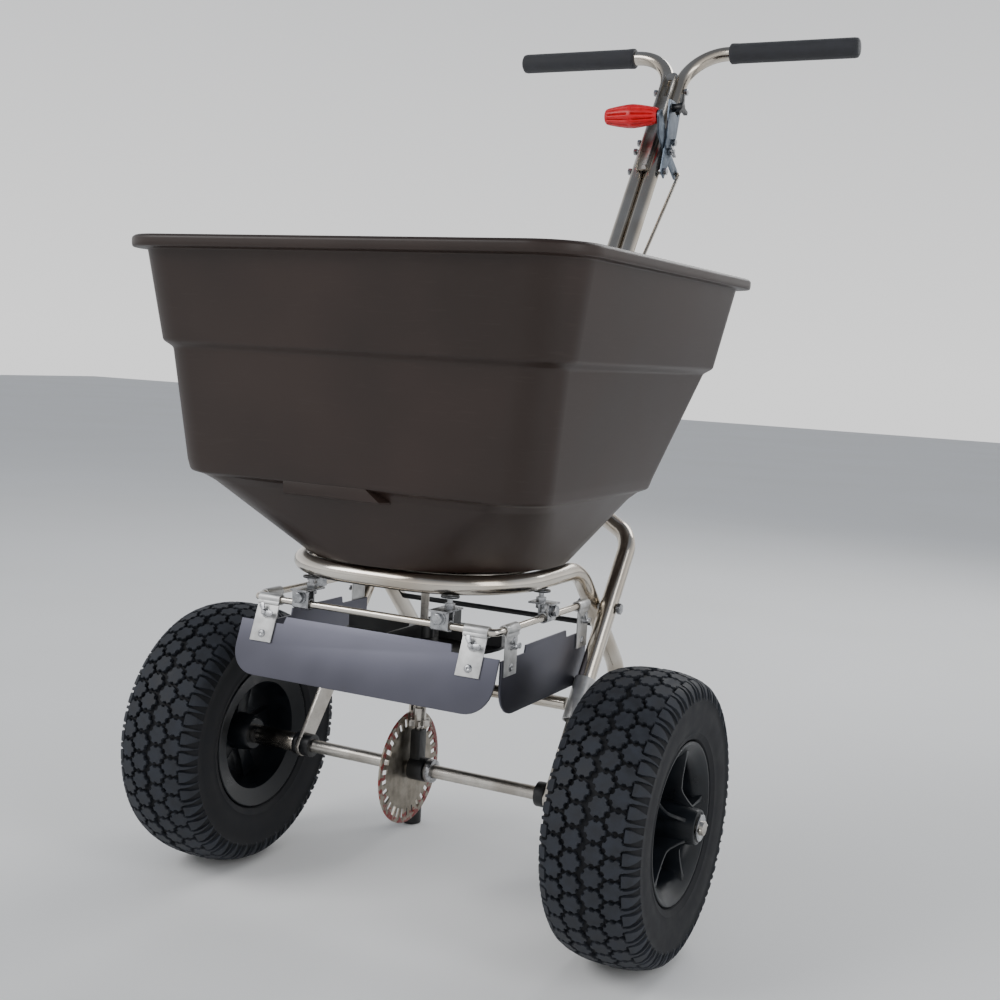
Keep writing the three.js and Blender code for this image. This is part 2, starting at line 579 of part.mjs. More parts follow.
function impeller() {
  const z = IMPELLER_Z;
  const disc = bar([0, 0, z], [0, 0, z + 3], IMPELLER_R, 32);
  const hub = bar([0, 0, z - 14], [0, 0, z + 22], 13, 14);
  const fins = Array.from({ length: 4 }, (_, i) => (
    new THREE.BoxGeometry(IMPELLER_R - 20, 2.6, 20).translate(IMPELLER_R / 2 + 8, 6, z + 12).rotateZ(i * Math.PI / 2)
  ));
  const bore = bar([0, 0, z - 20], [0, 0, z + 30], SHAFT_R + GAP, 16);
  return cut(join(disc, hub, ...fins), bore);
}
add("impeller", impeller(), BLACK_PLASTIC).position.x = SHAFT_X;

add("agitator", cut(join(
  bar([0, 0, 446], [0, 0, 466], 10, 14),
  bar([-48, 0, 452], [48, 0, 458], 3, 8),
), bar([0, 0, 440], [0, 0, 480], SHAFT_R + GAP, 14)), STAINLESS).position.x = SHAFT_X;

add("shaft_bush", cut(
  join(bar([0, 0, 402], [0, 0, SHUTTER_Z - BASE_T - 2 * GAP], 13, 16), bar([0, 0, 406], [0, 0, 409], 18, 16)),
  bar([0, 0, 390], [0, 0, 440], SHAFT_R + RUN, 16),
), BLACK_PLASTIC).position.x = SHAFT_X;

// Bracket that holds the shaft's lower end over the axle.
add("gear_bracket", cut(join(
  bar([-13, 0, 0], [7.5, 0, 0], 14.5, 28).translate(6, 0, 0),
  box(0, 0, 27, 13, 15, 42),
), bar([-30, 0, 0], [30, 0, 0], AXLE_R + RUN, 24), bar([0, 0, 40], [0, 0, 60], SHAFT_R + RUN, 16)), BLACK_PLASTIC)
  .position.set(SHAFT_X, 0, AXLE_Z);

add("axle_collar", ring("x", [SHAFT_X + 20, 0, AXLE_Z], 14, AXLE_R + GAP, 8), ZINC);

// ---- handle fittings, in the handle's own frame ----
function channel() {
  const { half, wall, depth, low, high } = CHANNEL;
  const base = new THREE.ExtrudeGeometry(rounded(2 * half, high - low, half), { depth: wall, bevelEnabled: false })
    .rotateX(Math.PI / 2).translate(0, 0, (high + low) / 2);
  const height = high - low - 16;
  const flange = (x) => box(x, -depth / 2 - wall / 2, (high + low) / 2 - 6, wall, depth + wall, height);
  const slot = box(0, -wall, high - 32, 8, wall * 4, 34);
  const body = join(base, flange(half - wall / 2), flange(wall / 2 - half));
  return cut(body, slot, box(0, 0, low - 20, 60, 60, 44)).translate(0, -TUBE_R - GAP, 0);
}
add("handle_channel", channel(), STAINLESS, handle);

const PAIR_SIDE = PAIR_X + TUBE_R + GAP;
const QUADRANT_X = LEVER_X + LEVER_T + 1;
const QUADRANT_T = 2.4;

function throughBolt(name, z, spacer) {
  const head = spacer ? QUADRANT_X + QUADRANT_T + GAP : PAIR_SIDE;
  const parts = [
    hexBolt(-PAIR_SIDE - 5, 0, z, 5.6), bar([-PAIR_SIDE - 2, 0, z], [head + 4, 0, z], SHANK_R, 8), hexBolt(head, 0, z, 5.6),
  ];
  if (spacer) parts.push(bar([PAIR_SIDE, 0, z], [QUADRANT_X - GAP, 0, z], 5, 12));
  add(name, join(...parts), ZINC, handle);
}
throughBolt("handle_bolt_top", BOLT_TOP, false);
throughBolt("handle_bolt_middle", 0, true);
throughBolt("handle_bolt_low", BOLT_LOW, true);

// Stop quadrant: a plate beside the right tube with an arc slot centred on the pivot.
const ARC_R = 66;
const ARC_FROM = THREE.MathUtils.degToRad(100);
const ARC_TO = THREE.MathUtils.degToRad(122);
function quadrant() {
  const shape = new THREE.Shape();
  shape.moveTo(8, -64);
  shape.lineTo(8, 12);
  shape.absarc(PIVOT.y, PIVOT.z, ARC_R + 11, ARC_FROM - 0.14, ARC_TO + 0.14);
  shape.lineTo(-24, -10);
  shape.lineTo(-14, -46);
  shape.lineTo(-8, -64);
  const slot = new THREE.Path();
  slot.absarc(PIVOT.y, PIVOT.z, ARC_R + 4, ARC_FROM - 0.06, ARC_TO + 0.06);
  slot.absarc(PIVOT.y, PIVOT.z, ARC_R - 4, ARC_TO + 0.06, ARC_FROM - 0.06, true);
  shape.holes.push(slot);
  const hole = (y, z) => bar([15, y, z], [35, y, z], SHANK_R + GAP, 12);
  return cut(plateYZ(shape, QUADRANT_X, QUADRANT_T, 6), hole(PIVOT.y, PIVOT.z), hole(0, 0), hole(0, BOLT_LOW));
}
add("stop_quadrant", quadrant(), GREY_PLATE, handle);

// Hand lever: knob arm to the front, hook arm to the back, one cranked plate.
const KNOB = { x: -21, y: -58, z: 2, half: 42, r: 18 };
function lever() {
  const arm = new THREE.Shape();
  arm.absarc(PIVOT.y, PIVOT.z, 11, -Math.PI * 0.62, Math.PI * 0.1);
  arm.absarc(KNOB.y, KNOB.z, 9, Math.PI * 0.35, Math.PI * 1.35);
  arm.lineTo(KNOB.y + 12, KNOB.z - 25);
  const hook = new THREE.Shape();
  hook.absarc(PIVOT.y + PIN_OUT, PIVOT.z, 9, -Math.PI / 2, Math.PI / 2);
  hook.lineTo(PIVOT.y, PIVOT.z + 9);
  hook.lineTo(PIVOT.y, PIVOT.z - 9);
  const stud = bar([KNOB.x - KNOB.half + 12, KNOB.y, KNOB.z], [LEVER_X + 1, KNOB.y, KNOB.z], 4, 12);
  const body = join(plateYZ(arm, LEVER_X, LEVER_T), plateYZ(hook, LEVER_X, LEVER_T), stud);
  const pivotHole = bar([20, PIVOT.y, PIVOT.z], [40, PIVOT.y, PIVOT.z], SHANK_R + GAP, 14);
  const hookHole = box(LEVER_X, PIVOT.y + PIN_OUT, PIVOT.z, 20, 12, 2 * HOOK_R + 1.4);
  return cut(body, pivotHole, hookHole);
}
add("lever", lever(), GREY_PLATE, handle);

function knob() {
  const { half, r } = KNOB;
  const profile = [[0, -half], [11, -half], [12.5, -half + 3], [r, -2], [r, 2], [12.5, half - 3], [11, half], [0, half]];
  const barrel = new THREE.LatheGeometry(profile.map(([a, b]) => new THREE.Vector2(a, b)), 16).rotateZ(Math.PI / 2);
  const bore = bar([10 - half, 0, 0], [half + 5, 0, 0], 4 + GAP, 14);
  return cut(barrel, bore, bar([half - 2.5, 0, 0], [half + 5, 0, 0], 7.5, 16));
}
add("lever_knob", knob(), RED, handle).position.set(KNOB.x, KNOB.y, KNOB.z);

const NUT_X = QUADRANT_X + QUADRANT_T + GAP;
add("lever_pivot", join(
  hexBolt(-PAIR_SIDE - 5, PIVOT.y, PIVOT.z, 5.6),
  bar([-PAIR_SIDE - 2, PIVOT.y, PIVOT.z], [NUT_X + 9, PIVOT.y, PIVOT.z], SHANK_R, 8),
  bar([NUT_X, PIVOT.y, PIVOT.z], [NUT_X + 6, PIVOT.y, PIVOT.z], 6, 12),
  box(NUT_X + 5, PIVOT.y, PIVOT.z, 5, 26, 3),
), ZINC, handle);

// Stop knob: wing knob whose stem slides in the quadrant's arc.
const STOP_ANGLE = THREE.MathUtils.degToRad(119);
function stopKnob() {
  const stem = bar([LEVER_X + 0.2, 0, 0], [NUT_X + 12, 0, 0], 3.2, 12);
  const collar = bar([NUT_X, 0, 0], [NUT_X + 10, 0, 0], 6.5, 14);
  const hub = bar([NUT_X + 9, 0, 0], [NUT_X + 17, 0, 0], 7.5, 14);
  const wing = (angle) => box(NUT_X + 14, 0, 11, 6, 5.5, 18).rotateX(angle);
  return join(stem, collar, hub, wing(0.5), wing(Math.PI - 0.4), wing(-1.3));
}
add("stop_knob", stopKnob(), BLACK_PLASTIC, handle)
  .position.set(0, PIVOT.y + ARC_R * Math.cos(STOP_ANGLE), PIVOT.z + ARC_R * Math.sin(STOP_ANGLE));

// ---- control rod from the lever's hook arm to the shutter's tab ----
handle.updateMatrix();
const hookTop = new THREE.Vector3(0, PIVOT.y + PIN_OUT, PIVOT.z).applyMatrix4(handle.matrix);
const ROD_X = LEVER_X + LEVER_T + 5.5;
add("control_rod", tube(new BentPath([
  [TAB_X - 5, HOOK_Y, PIN_Z], [ROD_X, HOOK_Y, PIN_Z],
  [ROD_X, hookTop.y, hookTop.z], [LEVER_X - 2, hookTop.y, hookTop.z],
], [4, 4], 4), HOOK_R, 0, 8), STAINLESS);

export default group;
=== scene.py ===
import math

import bmesh
import bpy
from mathutils import Matrix, Vector
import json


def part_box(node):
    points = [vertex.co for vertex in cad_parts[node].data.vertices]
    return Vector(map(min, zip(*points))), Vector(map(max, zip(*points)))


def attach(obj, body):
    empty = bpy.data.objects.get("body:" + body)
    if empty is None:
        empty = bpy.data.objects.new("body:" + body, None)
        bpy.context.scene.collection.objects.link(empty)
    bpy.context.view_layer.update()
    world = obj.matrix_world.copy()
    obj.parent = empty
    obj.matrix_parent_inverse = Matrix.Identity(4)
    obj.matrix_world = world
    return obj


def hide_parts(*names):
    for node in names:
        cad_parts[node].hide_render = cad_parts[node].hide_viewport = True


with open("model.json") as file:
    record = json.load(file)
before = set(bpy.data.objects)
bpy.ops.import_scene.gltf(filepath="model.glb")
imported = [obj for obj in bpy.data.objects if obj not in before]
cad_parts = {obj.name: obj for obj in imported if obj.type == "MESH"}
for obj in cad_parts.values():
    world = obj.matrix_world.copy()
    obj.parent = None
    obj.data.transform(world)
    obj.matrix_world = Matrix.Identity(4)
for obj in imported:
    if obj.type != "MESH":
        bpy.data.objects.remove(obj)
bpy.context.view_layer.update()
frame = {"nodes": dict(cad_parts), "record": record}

# Looks of a push broadcast spreader. Shapes are written in millimetres with the axle at y = 0
# and the ground at z = 0; piece() turns them to metres and moves them to the frame's axle.
MM = 0.001
AXLE_SHIFT = (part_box("axle")[0].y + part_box("axle")[1].y) / 2
BODY_OF = {node: body for body, nodes in frame["record"]["behaviour"]["bodies"].items() for node in nodes}
SIDES = (("left", -1), ("right", 1))

# ---- driving sizes ----
TYRE_R = 165.0
WHEEL_X = 284.0
AXLE_Z = TYRE_R
TUBE_R = 11.0
LEG_X = 172.3
RING_X = 149.4
RING_Z = 416.0
RING_FRONT = -130.0
FOOT_Y = 242.0
FOOT_Z = 9.0
SHIN_Z = 268.0
KNEE_Y = 96.0
LEG_LEAN = 0.709
LEG_TOP = 448.0
PAIR_Z = 503.0
BRACE_Z = 258.0
BRACE_R = 8.0
SLEEVE_Z = (241.0, 286.0)
RIVET_Z = 264.0
STRUT_HALF = 138.0
STRUT_Y = 174.0
STRUT_Z = 337.0
STRUT_R = 3.5
HANDLE_Y = 636.0
HANDLE_Z = 1006.0
HANDLE_LEAN = math.atan(0.644)
PAIR_X = 11.4
GRIP_Z = HANDLE_Z + 180 * math.cos(HANDLE_LEAN)
GRIP_IN = 81.0
GRIP_OUT = 282.0
RAIL_R = 4.0
RAIL_Z = 374.0
RAIL_FRONT = -130.0
RAIL_BACK = 116.0
RAIL_HALF = 157.5
SIDE_FLAP_Y = -3.0
SIDE_DROP = 6.0
TAB_W = 29.0
HANGER_X = 91.0
POST_Y = -114.0
FRONT_TILT = math.radians(20)
FLAP_T = 2.5
TAB_T = 1.6
ROD_R = 2.7
ROD_X = 31.4
ROD_TOP_X = 20.9


# ---- shapes: a shape is a list of points and a list of faces ----
def joined(*shapes):
    """Several shapes as one."""
    points, faces = [], []
    for more, polygons in shapes:
        start = len(points)
        points += more
        faces += [tuple(start + i for i in polygon) for polygon in polygons]
    return points, faces


def moved(shape, matrix):
    """A shape in another place. A mirrored one has its faces turned round, to keep them outwards."""
    points, faces = shape
    faces = faces if matrix.determinant() > 0 else [tuple(reversed(f)) for f in faces]
    return [matrix @ Vector(p) for p in points], faces


def shifted(shape, x=0.0, y=0.0, z=0.0):
    return moved(shape, Matrix.Translation((x, y, z)))


def turned_to(shape, degrees, axis):
    return moved(shape, Matrix.Rotation(math.radians(degrees), 4, axis))


def lofted(rings, closed=False):
    """A skin through rings of equal length, capped at both ends or closed on itself."""
    count = len(rings[0])
    points = [p for ring in rings for p in ring]
    faces = []
    for k in range(len(rings) - (0 if closed else 1)):
        here, above = k * count, (k + 1) % len(rings) * count
        for i in range(count):
            j = (i + 1) % count
            faces.append((here + i, here + j, above + j, above + i))
    if not closed:
        faces.append(tuple(reversed(range(count))))
        faces.append(tuple(range(len(points) - count, len(points))))
    return points, faces


def lathed(profile, steps=64, wave=None, closed=False):
    """Turns (x, radius) points about the X axis. wave(angle, x, radius) gives a new radius."""
    rings = []
    for x, radius in profile:
        angles = [2 * math.pi * i / steps for i in range(steps)]
        radii = [wave(a, x, radius) if wave else radius for a in angles]
        rings.append([Vector((x, r * math.cos(a), r * math.sin(a))) for a, r in zip(angles, radii)])
    return lofted(rings, closed)


def rounded_route(corners, radii, steps=10):
    """Straight runs joined by circular bends; returns points along the route."""
    corners = [Vector(c) for c in corners]
    route = [corners[0]]
    for before, corner, after, radius in zip(corners, corners[1:], corners[2:], radii):
        inward, outward = (corner - before).normalized(), (after - corner).normalized()
        angle = inward.angle(outward)
        start = corner - inward * radius * math.tan(angle / 2)
        side = (outward - inward * inward.dot(outward)).normalized()
        for k in range(steps + 1):
            turn = angle * k / steps
            route.append(start + inward * radius * math.sin(turn) + side * radius * (1 - math.cos(turn)))
    return route + [corners[-1]]


def swept(route, radius, sides=28):
    """A round bar or tube along a route, with its section carried along without twist."""
    ways = [(b - a).normalized() for a, b in zip(route, route[1:])]
    tangents = [ways[0]] + [(a + b).normalized() for a, b in zip(ways, ways[1:])] + [ways[-1]]
    across = tangents[0].orthogonal().normalized()
    rings = []
    for point, tangent in zip(route, tangents):
        across = (across - tangent * across.dot(tangent)).normalized()
        other = tangent.cross(across)
        rings.append([
            point + (across * math.cos(a) + other * math.sin(a)) * radius
            for a in (2 * math.pi * i / sides for i in range(sides))
        ])
    return lofted(rings)


def bar(start, end, radius, sides=28):
    """A straight round bar."""
    return swept([Vector(start), Vector(end)], radius, sides)


def open_tube(start, end, outer, inner, sides=40):
    """A plain tube between two points, open at both ends."""
    start, end = Vector(start), Vector(end)
    length = (end - start).length
    section = [(0, inner), (0, outer), (length, outer), (length, inner)]
    turn = Vector((1, 0, 0)).rotation_difference(end - start).to_matrix().to_4x4()
    return moved(lathed(section, sides, closed=True), Matrix.Translation(start) @ turn)


def block(centre, size):
    """A box given by its middle and its three sizes."""
    x, y, z = Vector(size) / 2
    ring = [Vector((-x, -y, 0)), Vector((x, -y, 0)), Vector((x, y, 0)), Vector((-x, y, 0))]
    up = Vector((0, 0, z))
    shape = lofted([[p - up for p in ring], [p + up for p in ring]])
    return shifted(shape, *centre)


def arc(cx, cy, radius, start, end, steps=8):
    """Points along an arc, from one angle to another in degrees."""
    turns = [math.radians(start + (end - start) * i / steps) for i in range(steps + 1)]
    return [(cx + radius * math.cos(t), cy + radius * math.sin(t)) for t in turns]


def plate(outlines, thickness, edge=0.3):
    """A flat plate with rounded edges, its outline and holes drawn in X and Y."""
    curve = bpy.data.curves.new("outline", "CURVE")
    curve.dimensions = "2D"
    curve.fill_mode = "BOTH"
    curve.extrude = thickness / 2 - edge
    curve.bevel_depth = edge
    curve.bevel_resolution = 2
    curve.offset = -edge
    for outline in outlines:
        spline = curve.splines.new("POLY")
        spline.points.add(len(outline) - 1)
        for spot, (x, y) in zip(spline.points, outline):
            spot.co = (x, y, 0, 1)
        spline.use_cyclic_u = True
    holder = bpy.data.objects.new("outline", curve)
    mesh = bpy.data.meshes.new_from_object(holder)
    shape = [v.co.copy() for v in mesh.vertices], [tuple(f.vertices) for f in mesh.polygons]
    bpy.data.objects.remove(holder)
    bpy.data.meshes.remove(mesh)
    bpy.data.curves.remove(curve)
    return shape


def cad_shape(node):
    """The solid of a CAD node, in millimetres with the axle at y = 0."""
    mesh = frame["nodes"][node].data
    points = [Vector((v.co.x, v.co.y - AXLE_SHIFT, v.co.z)) / MM for v in mesh.vertices]
    return points, [tuple(f.vertices) for f in mesh.polygons]


WELD = 1e-6
FLAT = math.radians(1)
EDGE_ANGLE = math.radians(50)


def piece(name, node, parts, bevel=0.0, crease=40, body=None):
    """One visible piece: shapes with their materials, standing for a CAD node."""
    mesh = bpy.data.meshes.new(name)
    points, faces = joined(*[shape for shape, _ in parts])
    mesh.from_pydata([(p[0] * MM, p[1] * MM + AXLE_SHIFT, p[2] * MM) for p in points], [], faces)
    owners = [index for index, (shape, _) in enumerate(parts) for _ in shape[1]]
    mesh.polygons.foreach_set("material_index", owners)
    for _, material in parts:
        mesh.materials.append(material)
    mesh.validate()
    work = bmesh.new()
    work.from_mesh(mesh)
    bmesh.ops.remove_doubles(work, verts=work.verts, dist=WELD)
    if bevel:
        bmesh.ops.dissolve_limit(work, angle_limit=FLAT, verts=work.verts, edges=work.edges)
        sharp = [e for e in work.edges if len(e.link_faces) == 2 and e.calc_face_angle() > EDGE_ANGLE]
        bmesh.ops.bevel(work, geom=sharp, offset=bevel * MM, segments=2, affect="EDGES", profile=0.6,
                        clamp_overlap=True)
    bmesh.ops.recalc_face_normals(work, faces=work.faces)
    for face in work.faces:
        face.smooth = True
    work.to_mesh(mesh)
    work.free()
    mesh.set_sharp_from_angle(angle=math.radians(crease))
    made = bpy.data.objects.new(name, mesh)
    bpy.context.scene.collection.objects.link(made)
    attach(made, body or BODY_OF[node])
    if not body:
        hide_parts(node)
    return made


def refined(node, material, bevel=0.4, crease=40, extra=()):
    """The CAD piece with its edges broken, as sheet and bar stock have them."""
    return piece(f"{node}_finished", node, [(cad_shape(node), material), *extra], bevel, crease)


# ---- materials ----
def linear(code):
    """An sRGB hex colour as linear red, green, blue and alpha."""
    values = [int(code[i:i + 2], 16) / 255 for i in (1, 3, 5)]
    return [v / 12.92 if v <= 0.04045 else ((v + 0.055) / 1.055) ** 2.4 for v in values] + [1.0]


def add(tree, kind, inputs, shades=None, **settings):
    """Adds a shader node with its settings, shades and links, and returns its first output in use."""
    made = tree.nodes.new("ShaderNode" + kind)
    for key, value in settings.items():
        setattr(made, key, value)
    if shades:
        for stop, (place, code) in zip(made.color_ramp.elements, shades.items()):
            stop.position = place
            stop.color = linear(code)
    for key, value in inputs.items():
        if isinstance(value, bpy.types.NodeSocket):
            tree.links.new(value, made.inputs[key])
        else:
            made.inputs[key].default_value = value
    return next(socket for socket in made.outputs if socket.enabled)


def started(name):
    """A new material, its nodes, and each point's own place, in metres, for the patterns."""
    made = bpy.data.materials.new(name)
    made.use_nodes = True
    tree = made.node_tree
    return made, tree, add(tree, "TexCoord", {}).node.outputs["Object"]


def finished(made, patterns, levels=None):
    """Links the patterns to the shader and sets on it what is the same all over the surface."""
    shader = made.node_tree.nodes["Principled BSDF"]
    for key, socket in patterns.items():
        made.node_tree.links.new(socket, shader.inputs[key])
    for key, value in (levels or {}).items():
        shader.inputs[key].default_value = value
    return made


def scale_for(size_mm):
    """The scale that gives a pattern features of about this many millimetres."""
    return 1 / (size_mm * MM)


# The range in which nearly all the values of a noise lie.
CORE = {"From Min": 0.3, "From Max": 0.7}


def moulded_polyethylene():
    """Brown-grey injection-moulded polyethylene: satin, a fine spark-eroded grain, faint flow clouds
    and a few fine scuffs that catch the light."""
    made, tree, where = started("moulded_polyethylene")
    cloud = add(tree, "TexNoise", {"Vector": where, "Scale": scale_for(160), "Detail": 2})
    # Real spark erosion is about 0.2 mm across, too fine to show, so the grain is drawn coarser.
    grain = add(tree, "TexNoise", {"Vector": where, "Scale": scale_for(1.1), "Detail": 2})
    level = add(tree, "Mapping", {"Vector": where, "Scale": (1 / 14, 1 / 14, 1)})
    scuffs = add(tree, "TexNoise", {"Vector": level, "Scale": scale_for(2.4), "Detail": 2})
    brown = add(tree, "ValToRGB", {"Fac": cloud}, {0.35: "#281d18", 0.65: "#30241f"})
    worn = add(tree, "MapRange", {"Value": scuffs, **CORE, "To Min": -0.42, "To Max": 0.12})
    colour = add(tree, "Mix", {"Factor": worn, "A": brown, "B": linear("#433935")}, data_type="RGBA")
    rough = add(tree, "MapRange", {"Value": cloud, **CORE, "To Min": 0.40, "To Max": 0.47})
    bumps = add(tree, "Bump", {"Height": grain, "Distance": 0.05 * MM, "Strength": 0.5})
    return finished(made, {"Base Color": colour, "Roughness": rough, "Normal": bumps},
                    {"IOR": 1.51, "Specular IOR Level": 0.36})


def glass_filled_nylon():
    """Black glass-filled nylon, as moulded rims have: blue-black, satin, slightly streaked by flow."""
    made, tree, where = started("glass_filled_nylon")
    flow = add(tree, "TexNoise", {"Vector": where, "Scale": scale_for(22), "Detail": 3})
    # Coarser than the real fibre bloom of about 0.2 mm, which wouldn't show.
    grain = add(tree, "TexNoise", {"Vector": where, "Scale": scale_for(0.9), "Detail": 3})
    colour = add(tree, "ValToRGB", {"Fac": flow}, {0.35: "#0c0f13", 0.65: "#13171c"})
    rough = add(tree, "MapRange", {"Value": flow, **CORE, "To Min": 0.27, "To Max": 0.38})
    bumps = add(tree, "Bump", {"Height": grain, "Distance": 0.04 * MM, "Strength": 0.5})
    return finished(made, {"Base Color": colour, "Roughness": rough, "Normal": bumps},
                    {"IOR": 1.53, "Specular IOR Level": 0.26})


def black_acetal():
    """Small black acetal mouldings: near black, waxy, with a soft highlight."""
    made, tree, where = started("black_acetal")
    cloud = add(tree, "TexNoise", {"Vector": where, "Scale": scale_for(8), "Detail": 3})
    grain = add(tree, "TexNoise", {"Vector": where, "Scale": scale_for(0.8), "Detail": 3})
    colour = add(tree, "ValToRGB", {"Fac": cloud}, {0.35: "#0d0e10", 0.65: "#141517"})
    rough = add(tree, "MapRange", {"Value": cloud, **CORE, "To Min": 0.32, "To Max": 0.46})
    bumps = add(tree, "Bump", {"Height": grain, "Distance": 0.03 * MM, "Strength": 0.5})
    return finished(made, {"Base Color": colour, "Roughness": rough, "Normal": bumps})


def vulcanised_rubber():
    """Tyre rubber: matt blue-black with a bloom of dust that makes it greyer in patches."""
    made, tree, where = started("vulcanised_rubber")
    bloom = add(tree, "TexNoise", {"Vector": where, "Scale": scale_for(26), "Detail": 5, "Roughness": 0.6})
    skin = add(tree, "TexNoise", {"Vector": where, "Scale": scale_for(1.6), "Detail": 4})
    colour = add(tree, "ValToRGB", {"Fac": bloom}, {0.3: "#121316", 0.72: "#1d1e22"})
    rough = add(tree, "MapRange", {"Value": bloom, **CORE, "To Min": 0.6, "To Max": 0.78})
    bumps = add(tree, "Bump", {"Height": skin, "Distance": 0.12 * MM, "Strength": 0.5})
    return finished(made, {"Base Color": colour, "Roughness": rough, "Normal": bumps},
                    {"Specular IOR Level": 0.26})


def tread_rubber():
    """The same rubber on the tread blocks, buffed greyer by contact with the ground."""
    made, tree, where = started("tread_rubber")
    bloom = add(tree, "TexNoise", {"Vector": where, "Scale": scale_for(14), "Detail": 5, "Roughness": 0.65})
    skin = add(tree, "TexNoise", {"Vector": where, "Scale": scale_for(1.3), "Detail": 4})
    colour = add(tree, "ValToRGB", {"Fac": bloom}, {0.3: "#1c1e23", 0.75: "#2e323a"})
    rough = add(tree, "MapRange", {"Value": bloom, **CORE, "To Min": 0.55, "To Max": 0.75})
    bumps = add(tree, "Bump", {"Height": skin, "Distance": 0.15 * MM, "Strength": 0.6})
    return finished(made, {"Base Color": colour, "Roughness": rough, "Normal": bumps},
                    {"Specular IOR Level": 0.36})


def polished_stainless():
    """Polished 304 stainless tube: bright, slightly warm, with fine marks left along it by the buffing
    belt and a gentle waviness from bending."""
    made, tree, where = started("polished_stainless")
    wave = add(tree, "TexNoise", {"Vector": where, "Scale": scale_for(60), "Detail": 1})
    # Real belt marks are a few hundredths of a millimetre wide. They are drawn wider, to show.
    upright = add(tree, "Mapping", {"Vector": where, "Scale": (1, 1, 1 / 14)})
    belt = add(tree, "TexNoise", {"Vector": upright, "Scale": scale_for(0.9), "Detail": 2})
    colour = add(tree, "ValToRGB", {"Fac": wave}, {0.35: "#bcb2a4", 0.65: "#d3cdc3"})
    rough = add(tree, "MapRange", {"Value": belt, **CORE, "To Min": 0.13, "To Max": 0.24})
    marks = add(tree, "Bump", {"Height": belt, "Distance": 0.01 * MM, "Strength": 0.4})
    bumps = add(tree, "Bump", {"Height": wave, "Distance": 1.2 * MM, "Strength": 0.25, "Normal": marks})
    return finished(made, {"Base Color": colour, "Roughness": rough, "Normal": bumps}, {"Metallic": 1.0})


def brushed_stainless():
    """Stainless sheet with a brushed face: soft streaks across the plate and a wider highlight."""
    made, tree, where = started("brushed_stainless")
    stain = add(tree, "TexNoise", {"Vector": where, "Scale": scale_for(30), "Detail": 3})
    # Real brush marks are about 0.05 mm wide. They are drawn wider, to show.
    level = add(tree, "Mapping", {"Vector": where, "Scale": (1 / 24, 1 / 24, 1)})
    brush = add(tree, "TexNoise", {"Vector": level, "Scale": scale_for(0.7), "Detail": 3})
    colour = add(tree, "ValToRGB", {"Fac": stain}, {0.35: "#a8a29a", 0.65: "#c6c2bb"})
    rough = add(tree, "MapRange", {"Value": brush, **CORE, "To Min": 0.24, "To Max": 0.42})
    bumps = add(tree, "Bump", {"Height": brush, "Distance": 0.015 * MM, "Strength": 0.5})
    return finished(made, {"Base Color": colour, "Roughness": rough, "Normal": bumps}, {"Metallic": 1.0})


def bright_zinc():
    """Bright zinc plate on pressed steel and fasteners: cool, with a faint cloudy spangle."""
    made, tree, where = started("bright_zinc")
    spangle = add(tree, "TexVoronoi", {"Vector": where, "Scale": scale_for(3)})
    cloud = add(tree, "TexNoise", {"Vector": where, "Scale": scale_for(9), "Detail": 3})
    colour = add(tree, "ValToRGB", {"Fac": cloud}, {0.35: "#8f9092", 0.65: "#b9babc"})
    rough = add(tree, "MapRange", {"Value": spangle, **CORE, "To Min": 0.26, "To Max": 0.34})
    bumps = add(tree, "Bump", {"Height": cloud, "Distance": 0.02 * MM, "Strength": 0.15})
    return finished(made, {"Base Color": colour, "Roughness": rough, "Normal": bumps}, {"Metallic": 1.0})


def dull_zinc():
    """Thick, slightly blotchy zinc on the pressed tabs and sleeves: paler and softer than on bolts."""
    made, tree, where = started("dull_zinc")
    cloud = add(tree, "TexNoise", {"Vector": where, "Scale": scale_for(12), "Detail": 4})
    colour = add(tree, "ValToRGB", {"Fac": cloud}, {0.35: "#b4b4b3", 0.65: "#cfcfce"})
    rough = add(tree, "MapRange", {"Value": cloud, **CORE, "To Min": 0.36, "To Max": 0.46})
    bumps = add(tree, "Bump", {"Height": cloud, "Distance": 0.02 * MM, "Strength": 0.12})
    return finished(made, {"Base Color": colour, "Roughness": rough, "Normal": bumps}, {"Metallic": 0.75})


def satin_steel_plate():
    """Blue-grey satin steel of the lever and quadrant: bead-blasted, so it is soft all over."""
    made, tree, where = started("satin_steel_plate")
    cloud = add(tree, "TexNoise", {"Vector": where, "Scale": scale_for(12), "Detail": 3})
    grain = add(tree, "TexNoise", {"Vector": where, "Scale": scale_for(0.5), "Detail": 3})
    colour = add(tree, "ValToRGB", {"Fac": cloud}, {0.35: "#525c68", 0.65: "#6d7783"})
    rough = add(tree, "MapRange", {"Value": cloud, **CORE, "To Min": 0.34, "To Max": 0.46})
    bumps = add(tree, "Bump", {"Height": grain, "Distance": 0.02 * MM, "Strength": 0.5})
    return finished(made, {"Base Color": colour, "Roughness": rough, "Normal": bumps}, {"Metallic": 0.85})


def anodised_sheet():
    """Black anodised aluminium sheet of the deflector flaps: smooth, grey where it mirrors the light."""
    made, tree, where = started("anodised_sheet")
    smear = add(tree, "TexNoise", {"Vector": where, "Scale": scale_for(90), "Detail": 2})
    grain = add(tree, "TexNoise", {"Vector": where, "Scale": scale_for(1), "Detail": 3})
    colour = add(tree, "ValToRGB", {"Fac": smear}, {0.35: "#54545d", 0.65: "#5c5c66"})
    rough = add(tree, "MapRange", {"Value": smear, **CORE, "To Min": 0.34, "To Max": 0.40})
    bumps = add(tree, "Bump", {"Height": grain, "Distance": 0.01 * MM, "Strength": 0.3})
    return finished(made, {"Base Color": colour, "Roughness": rough, "Normal": bumps}, {"Metallic": 0.85})


